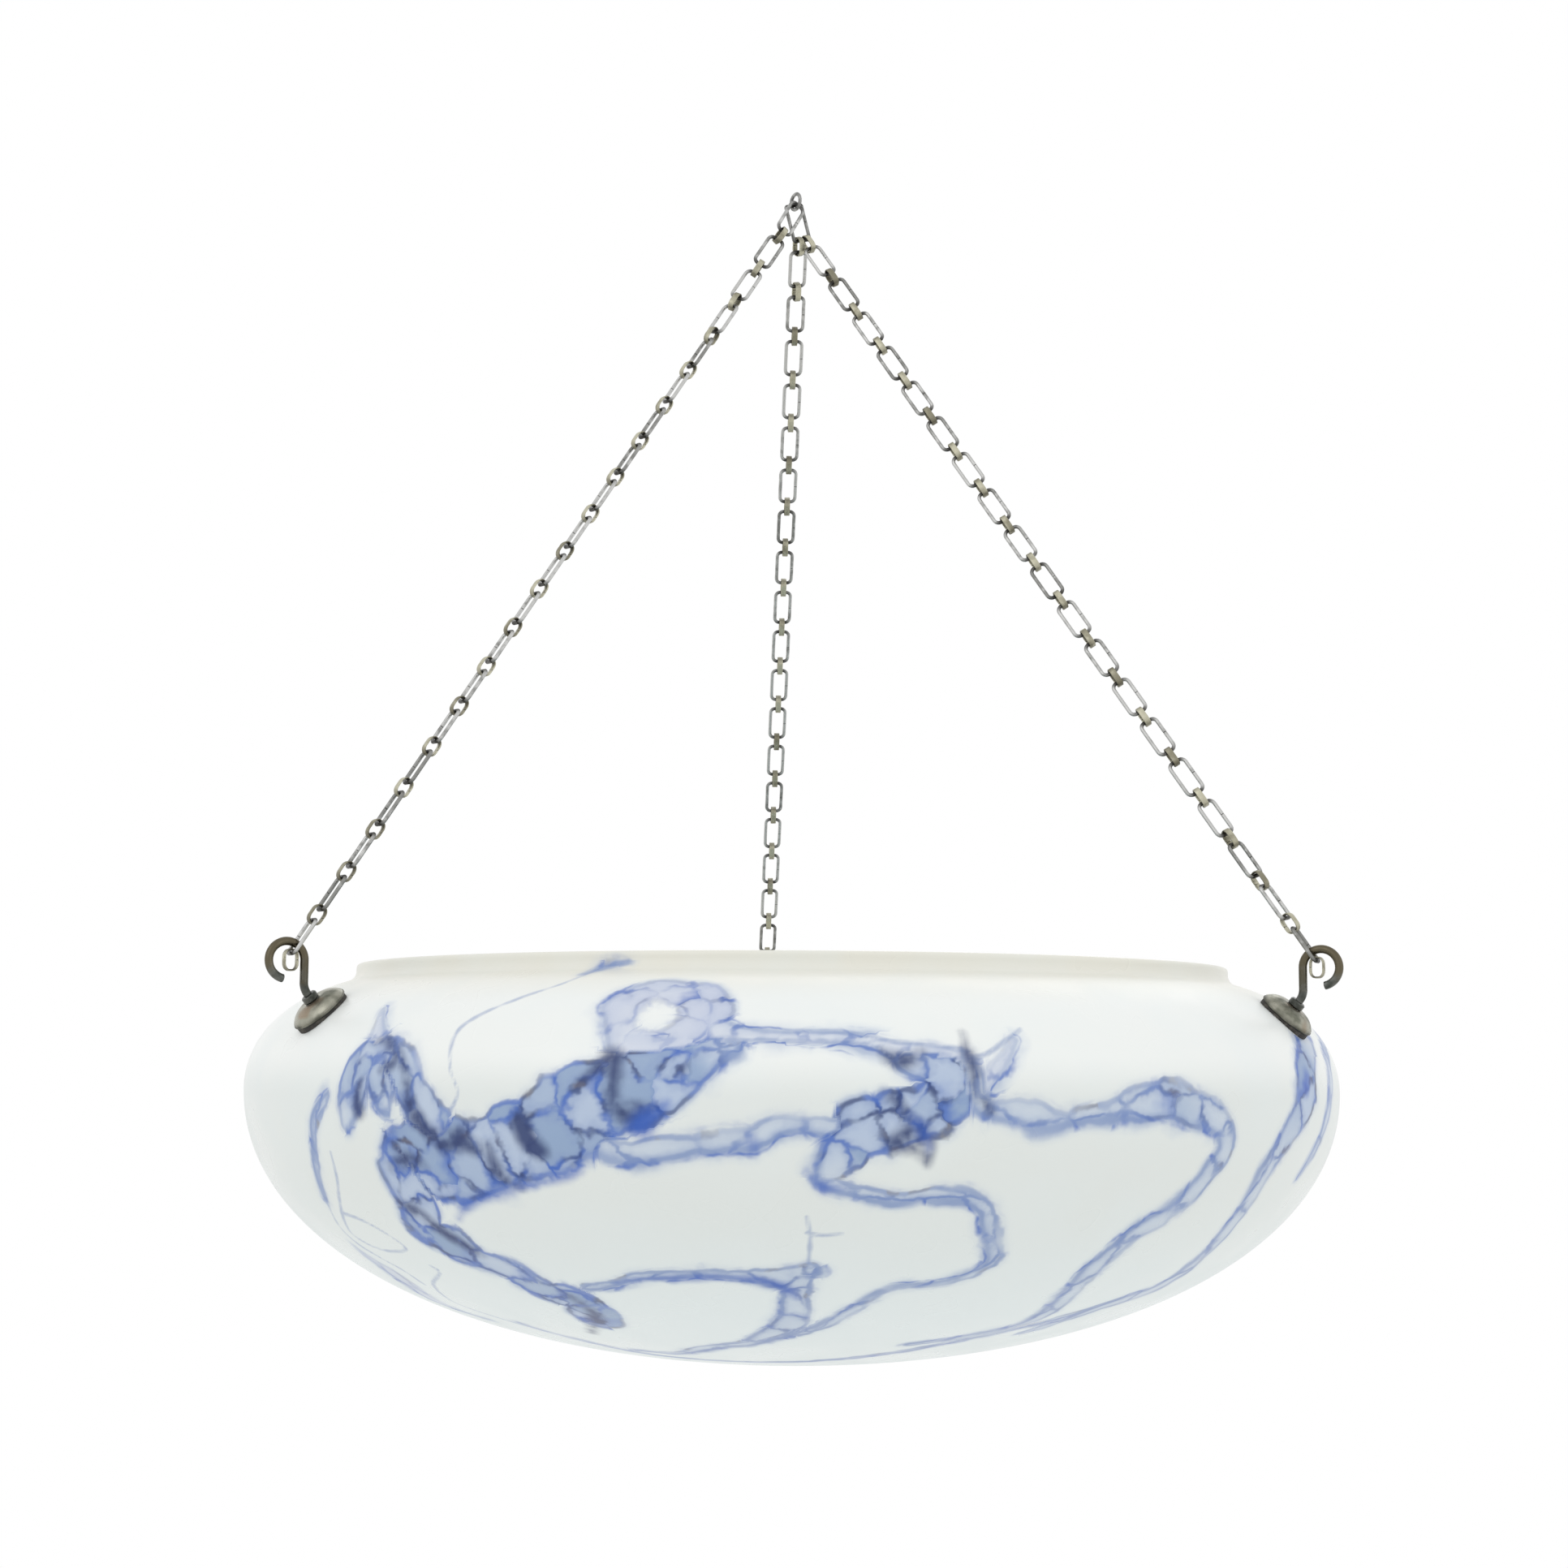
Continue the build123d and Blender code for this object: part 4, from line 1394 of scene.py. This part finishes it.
@dataclass
class HookStack:
    """One hook with the plate, washer and nut that clamp it to the glass between two soft pads.

    Heights are along the shank, from the glass's outer face. Plates, washers and nuts give their diameters.
    """

    side: str
    shape: BowlShape
    widest: float
    wire: float = 2.9
    eye_inside: float = 9.8
    bend: float = 6.0
    stem: float = 7.5
    eye_turn: float = 258.0
    flange: float = 5.6
    flange_floor: float = 5.4
    flange_top: float = 7.8
    shank_end: float = -12.8
    thread_top: float = -7.6
    thread_pitch: float = 0.5
    thread_depth: float = 0.3
    hole: float = 3.4
    plate: float = 20.5
    plate_floor: float = 0.9
    plate_lip: float = 0.8
    plate_top: float = 5.3
    plate_crown: float = 7.0
    plate_bulge: float = 1.0
    plate_metal: float = 0.8
    washer: float = 13.0
    washer_floor: float = -8.1
    washer_thickness: float = 1.0
    nut: float = 5.5
    nut_floor: float = -10.6
    nut_height: float = 2.4
    nut_bore: float = 3.1
    nut_facing: float = 0.97
    nut_slope: float = 30.0
    chamfer: float = 0.15
    taper: float = 0.45
    flange_edge: float = 0.25
    underside_shade: float = 0.85
    shaded_share: float = 0.45
    shank_dirt: float = 0.3
    bend_dirt: float = 0.25
    turned_columns: int = 96
    rod_columns: int = 24

    def build(self, finishes: Finishes) -> None:
        """Makes the pieces of the stack.

        Args:
            finishes: materials by slot.
        """
        seat = hook_seat(self.side, self.shape, self.widest)
        self.make_hook(seat, finishes)
        turned = {
            "plate": (self.plate_profile(), Slot.PLATE_METAL),
            "washer": (self.washer_profile(), Slot.PLAIN_STEEL),
        }
        for name, (profile, slot) in turned.items():
            draft = Draft()
            # Painted shade: each plate and washer darkens towards its lower edge, the shadow under the
            # plate's brim
            low, high = profile[:, 1].min(), profile[:, 1].max()
            rise = (profile[:, 1] - low) / (self.shaded_share * (high - low))
            contact = np.clip(1 - rise, 0, 1) * self.underside_shade
            draft.add(spun(seat, profile, self.turned_columns), contact=contact, tone=0.0)
            draft.make(f"{self.side}_{name}", "turned", finishes, slot, crease=50)
        self.make_nut(seat, finishes)

    def plate_profile(self) -> np.ndarray:
        """Draws the dished plate's section, with its rolled lip.

        Returns:
            Radii and heights, closed.
        """
        crown, brim = self.plate_crown / 2, self.plate / 2
        lip = self.plate_floor + self.plate_lip
        share = np.linspace(0, 1, 17)[:, None]
        slope = np.array((brim - crown, lip - self.plate_top))
        side = np.array((-slope[1], slope[0])) / np.linalg.norm(slope)
        bulge = 4 * self.plate_bulge * share * (1 - share)
        arc = np.array((crown, self.plate_top)) + share * slope + bulge * side
        under = arc - self.plate_metal * side
        bore = self.hole / 2
        under_top = self.plate_top - self.plate_metal
        floor = self.plate_floor
        brim_edge = eased(((brim, lip, 0.3), (brim, floor, 0.35), (brim - self.plate_metal, floor, 0.3)))
        top = self.plate_top
        bore_edge = np.array(((bore, under_top), (bore, top - self.chamfer), (bore + self.chamfer, top)))
        under = under[under[:, 0] < brim - self.plate_metal - 0.1]
        under = under[under[:, 0] > bore + 0.2][::-1]
        return np.concatenate((arc[:-1], brim_edge, under, bore_edge))

    def washer_profile(self) -> np.ndarray:
        """Draws the washer's section with its rounded edges."""
        low, high = self.washer_floor, self.washer_floor + self.washer_thickness
        bore, edge = self.hole / 2, self.washer / 2
        return eased(((bore, low, 0.12), (edge, low, 0.25), (edge, high, 0.25), (bore, high, 0.12)))

    def make_nut(self, seat: Place, finishes: Finishes) -> None:
        """Makes the hexagon nut with its chamfered corners.

        Args:
            seat: the stack's seat.
            finishes: materials by slot.
        """
        angles = full_turn(self.turned_columns)
        face = np.mod(angles + math.pi / 6, math.pi / 3) - math.pi / 6
        hexagon = self.nut / 2 / np.cos(face)
        ring = self.nut / 2 * self.nut_facing
        drop = (hexagon - ring) * math.tan(math.radians(self.nut_slope))
        bore = np.full(self.turned_columns, self.nut_bore / 2)
        low, high = self.nut_floor, self.nut_floor + self.nut_height
        flat = np.zeros(self.turned_columns)
        rows = (
            (bore + self.chamfer, flat + low),
            (flat + ring, flat + low),
            (hexagon, low + drop),
            (hexagon, high - drop),
            (flat + ring, flat + high),
            (bore + self.chamfer, flat + high),
            (bore, flat + high - self.chamfer),
            (bore, flat + low + self.chamfer),
        )
        radii = np.stack([radius for radius, _ in rows])
        heights = np.stack([height for _, height in rows])
        grid = seat.world(radii * np.cos(angles), heights, radii * np.sin(angles))
        draft = Draft()
        draft.add(grid, contact=0.15, tone=0.2)
        draft.make(f"{self.side}_nut", "hexagon", finishes, Slot.PLAIN_STEEL, crease=25)

    def make_hook(self, seat: Place, finishes: Finishes) -> None:
        """Makes the hook: threaded shank, flange, bend, stem and open eye in one rod.

        Args:
            seat: the stack's seat.
            finishes: materials by slot.
        """
        _, _, lean = self.shape.hook_seat()
        radius = self.wire / 2
        # The shank as heights and radii, thread and flange included
        threads = np.arange(self.shank_end + self.taper, self.thread_top, self.thread_pitch / 8)
        wide = self.flange / 2
        low, high = self.flange_floor, self.flange_top
        edge = self.flange_edge
        shank = [(self.shank_end, radius - self.taper), *((height, radius) for height in threads)]
        shank += [(height, radius) for height in (self.thread_top + 0.2, -4.0, 0.0, 4.0, low)]
        shank += [(low, wide - edge), (low + edge, wide), (high - 2 * edge, wide), (high - 0.12, wide - 0.35)]
        shank.append((high, radius))
        # The rod's line from the shank on: a bend to upright, the stem and the eye
        up_way = np.array((math.sin(lean), math.cos(lean)))
        heights = np.array(shank)
        path = [heights[:, :1] * up_way]
        turns = [np.full(len(shank), lean)]
        corner = np.linspace(lean, 0, 14)[1:]
        middle = self.flange_top * up_way + self.bend * np.array((-math.cos(lean), math.sin(lean)))
        path.append(middle + self.bend * np.stack((np.cos(corner), -np.sin(corner)), axis=1))
        turns.append(corner)
        rise = np.array([(0.0, self.stem * share) for share in (0.33, 0.66, 1.0)])
        path.append(path[-1][-1] + rise)
        turns.append(np.zeros(3))
        eye = (self.eye_inside + self.wire) / 2
        sweep = np.linspace(0, math.radians(self.eye_turn), 60)[1:]
        centre = path[-1][-1] + (eye, 0.0)
        path.append(centre + eye * np.stack((-np.cos(sweep), np.sin(sweep)), axis=1))
        turns.append(sweep)
        line, turn = np.concatenate(path), np.concatenate(turns)
        sizes = np.concatenate((heights[:, 1], np.full(len(line) - len(heights), radius)))
        tip = np.stack((np.sin(turn[-1:]), np.cos(turn[-1:])), axis=1) * self.chamfer
        line = np.concatenate((line, line[-1:] + tip))
        turn, sizes = np.append(turn, turn[-1]), np.append(sizes, radius - self.chamfer)
        self.sweep_rod(seat, line, turn, sizes, heights, finishes)

    def sweep_rod(
        self,
        seat: Place,
        line: np.ndarray,
        turn: np.ndarray,
        sizes: np.ndarray,
        heights: np.ndarray,
        finishes: Finishes,
    ) -> None:
        """Carries the rod's round section along the hook's line and cuts the thread.

        Args:
            seat: the stack's seat.
            line: the rod's middle, outwards and up from the seat.
            turn: turn of the rod's way from upright at each point.
            sizes: the rod's radius at each point.
            heights: heights and radii along the shank.
            finishes: materials by slot.
        """
        angles = full_turn(self.rod_columns)
        shape = np.broadcast_to(sizes[:, None], (len(line), self.rod_columns)).copy()
        cut = (heights[:, 0] > self.shank_end + 0.2) & (heights[:, 0] < self.thread_top)
        phase = heights[cut, :1] / self.thread_pitch - angles / (2 * math.pi)
        shape[: len(heights)][cut] -= self.thread_depth * np.abs(2 * np.mod(phase, 1) - 1)
        out = np.cross(seat.across, UP)
        across = np.stack((np.cos(turn), -np.sin(turn)), axis=1)
        flat = line[:, None, :] + (shape * np.cos(angles))[..., None] * across[:, None, :]
        grid = seat.middle + flat[..., :1] * out + flat[..., 1:] * UP
        grid = grid + (shape * np.sin(angles))[..., None] * seat.across
        share = np.linspace(0, 1, len(line) - len(heights))
        height = np.concatenate((np.zeros(len(heights)), np.sin(math.pi * share)))
        dirt = np.concatenate((np.full(len(heights), self.shank_dirt), self.bend_dirt * (1 - share)))
        draft = Draft()
        draft.add(grid, closed=False, height=height, contact=dirt, tone=0.0)
        draft.make(f"{self.side}_hook", "rod", finishes, Slot.DARK_BRONZE, crease=35)


@dataclass
class Chains:
    """The links of the three chains, the two links at the top and the ring that they hang from.

    Lengths and widths are outer sizes.
    """

    wire: float = 1.4
    wire_columns: int = 12
    ring_columns: int = 16
    length: float = 15.4
    width: float = 7.6
    joining_width: float = 9.0
    corner: float = 1.9
    joining_corner: float = 0.7
    strip: float = 2.2
    strip_thickness: float = 0.62
    short_length: float = 7.5
    short_width: float = 5.2
    short_corner_width: float = 1.75
    short_corner_length: float = 2.3
    ring_inside: float = 4.8
    joint_depth: float = 0.22
    joint_dirt: float = 0.9
    strip_edge: float = 0.22
    outer_dirt: float = 0.45
    wire_clean: float = 0.82
    strip_clean: float = 0.6
    seed: int = 7

    def build(self, finishes: Finishes) -> None:
        """Makes every link and the ring.

        Args:
            finishes: materials by slot.
        """
        chance = np.random.default_rng(self.seed)
        plain = (self.width, self.corner)
        wire_nodes = {"left_top_link": plain, "joining_link": (self.joining_width, self.joining_corner)}
        for side in SIDES:
            wire_nodes |= {f"{side}_long_links": plain, f"{side}_hook_link": plain}
        for node, (width, corner) in wire_nodes.items():
            draft = Draft()
            for place in solids(node):
                self.add_wire_link(draft, place, width, corner, chance.uniform(-1, 1))
            draft.make(node, "wire", finishes, Slot.PLATED_STEEL)
        for side in SIDES:
            for node in (f"{side}_short_links", f"{side}_loose_link"):
                draft = Draft()
                for place in solids(node):
                    self.add_strip_link(draft, place, chance.uniform(-1, 1))
                draft.make(node, "strip", finishes, Slot.AGED_STRIP)
        draft = Draft()
        self.add_ring(draft, solids("suspension_ring")[0])
        draft.make("suspension_ring", "wire", finishes, Slot.PLATED_STEEL)

    def add_wire_link(self, draft: Draft, place: Place, width: float, corner: float, tone: float) -> None:
        """Adds a long link of round wire, butted in the middle of one side.

        Args:
            draft: mesh to add to.
            place: the link's place.
            width: outer width.
            corner: radius of its corners, at the wire's middle.
            tone: how dull this link is.
        """
        wide, tall = (width - self.wire) / 2, (self.length - self.wire) / 2
        outline = round_loop(wide, tall, corner, corner)
        contact = self.end_dirt(outline, tall, self.wire_clean)
        section = circle(self.wire / 2, full_turn(self.wire_columns))
        grid = loop_grid(place, outline, section, self.joint_depth)
        draft.add(grid, contact=contact, tone=tone)

    def add_strip_link(self, draft: Draft, place: Place, tone: float) -> None:
        """Adds a short link of flat strip bent to an oval.

        Args:
            draft: mesh to add to.
            place: the link's place.
            tone: how dull this link is.
        """
        half, side = self.strip_thickness / 2, self.strip / 2
        wide, tall = self.short_width / 2 - half, self.short_length / 2 - half
        outline = round_loop(wide, tall, self.short_corner_width, self.short_corner_length)
        edge = self.strip_edge
        section = eased(((half, -side, edge), (half, side, edge), (-half, side, edge), (-half, -side, edge)))
        inner = np.where(section[:, 0] < 0, 1.0, self.outer_dirt)
        dirt = self.end_dirt(outline, tall, self.strip_clean)[:, None] * inner
        dirt[1:3] = self.joint_dirt
        draft.add(loop_grid(place, outline, section, self.joint_depth), contact=dirt, tone=tone)

    def add_ring(self, draft: Draft, place: Place) -> None:
        """Adds the round suspension ring.

        Args:
            draft: mesh to add to.
            place: the ring's place.
        """
        radius = (self.ring_inside + self.wire) / 2
        angles = np.concatenate(((-0.045, -0.015, 0.015, 0.045), np.linspace(0, 2 * math.pi, 49)[1:-1]))
        outline = circle(radius, angles)
        contact = np.clip(np.abs(outline @ (place.along[2], place.across[2])) / radius, 0, 1) * 0.5
        section = circle(self.wire / 2, full_turn(self.ring_columns))
        grid = loop_grid(place, outline, section, self.joint_depth)
        draft.add(grid, contact=contact, tone=0.2)

    def end_dirt(self, outline: np.ndarray, tall: float, clean: float) -> np.ndarray:
        """Finds the dirt on a link's end bars and in the joint where its wire meets.

        Args:
            outline: the link's outline, joint first.
            tall: half the link's length.
            clean: share of that which stays clean.

        Returns:
            Shares of dirt.
        """
        dirt = np.clip((np.abs(outline[:, 1]) / tall - clean) / (1 - clean), 0, 1)
        dirt[1:3] = self.joint_dirt
        return dirt


@dataclass
class Studio:
    """Plain pale floor and soft light round the hanging lamp, in metres."""

    floor_height: float = -1.1
    floor_radius: float = 2.2
    sky: str = "#FFFFFF"
    sky_strength: float = 1.0
    floor: str = "#F2F1EE"
    floor_mottle: float = 0.3
    lights: tuple[tuple[str, tuple[float, float, float], float, float], ...] = (
        ("key_light", (-1.7, -2.2, 1.4), 2.4, 9.0),
        ("fill_light", (2.2, -1.4, 0.4), 2.4, 4.0),
        ("back_light", (0.6, 2.2, 1.4), 1.8, 6.0),
    )

    def build(self, target: np.ndarray) -> None:
        """Makes the floor, the sky and the lights.

        Args:
            target: what the lights face, in metres.
        """
        bpy.context.scene.view_settings.view_transform = "Standard"
        world = bpy.data.worlds.new("soft_sky")
        world.use_nodes = True
        background = world.node_tree.nodes["Background"]
        background.inputs["Color"].default_value = linear(self.sky)
        background.inputs["Strength"].default_value = self.sky_strength
        bpy.context.scene.world = world
        for name, place, size, power in self.lights:
            data = bpy.data.lights.new(name, "AREA")
            data.shape = "DISK"
            data.size = size
            data.energy = power
            light = add_object(name, data)
            way = Vector(target) - Vector(place)
            light.location = place
            light.rotation_euler = way.to_track_quat("-Z", "Y").to_euler()
        self.lay_floor()

    def lay_floor(self) -> None:
        """Lays a round floor of painted board."""
        material, add = new_material("matt_painted_floor")
        place = add("TexCoord", output="Object")
        clouds = add("TexNoise", {"Vector": place, "Scale": 1 / self.floor_mottle, "Detail": 2.0})
        rough = add("MapRange", (clouds, 0.3, 0.7, 0.75, 0.9), **EASED)
        shader = add("BsdfPrincipled", {"Base Color": linear(self.floor), "Roughness": rough})
        add("OutputMaterial", (shader,))
        draft = bmesh.new()
        bmesh.ops.create_circle(draft, cap_ends=True, radius=self.floor_radius, segments=128)
        mesh = bpy.data.meshes.new("floor")
        draft.to_mesh(mesh)
        draft.free()
        mesh.materials.append(material)
        floor = add_object("floor", mesh)
        floor.location.z = self.floor_height
        floor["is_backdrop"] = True


def main() -> None:
    """Builds the light's pieces in order, then the studio and the camera."""
    logging.basicConfig(level=logging.INFO, format="%(name)s: %(message)s")
    shape = BowlShape()
    view = PhotoView()
    low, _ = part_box("glass_bowl")
    widest = low[2] / METRES + shape.depth
    finishes = {
        Slot.OPAL_GLASS: AgateGlass().build(),
        Slot.PLATED_STEEL: PLATED_WIRE.build(),
        Slot.AGED_STRIP: LACQUERED_STRIP.build(),
        Slot.DARK_BRONZE: BRONZED_ROD.build(),
        Slot.PLATE_METAL: SPUN_PLATE.build(),
        Slot.PAD: MouldedRubber().build(),
        Slot.PLAIN_STEEL: ZINC_STEEL.build(),
    }
    GlassBowl(shape, AgatePattern(shape, view, widest)).build(finishes[Slot.OPAL_GLASS])
    for side in SIDES:
        HookStack(side, shape, widest).build(finishes)
        for pad in ("outer_pad", "inner_pad"):
            node = frame["nodes"][f"{side}_{pad}"]
            node.data.materials.clear()
            node.data.materials.append(finishes[Slot.PAD])
            log.info("%s_%s: rubber", side, pad)
    Chains().build(finishes)
    Studio().build(np.array((0.0, 0.0, widest * METRES)))
    view.build(widest)
    boxes = {"cad": CAD_BOX, "visual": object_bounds()}
    {name: [list(corner) for corner in box] for name, box in boxes.items()}


if __name__ == "__main__":
    main()
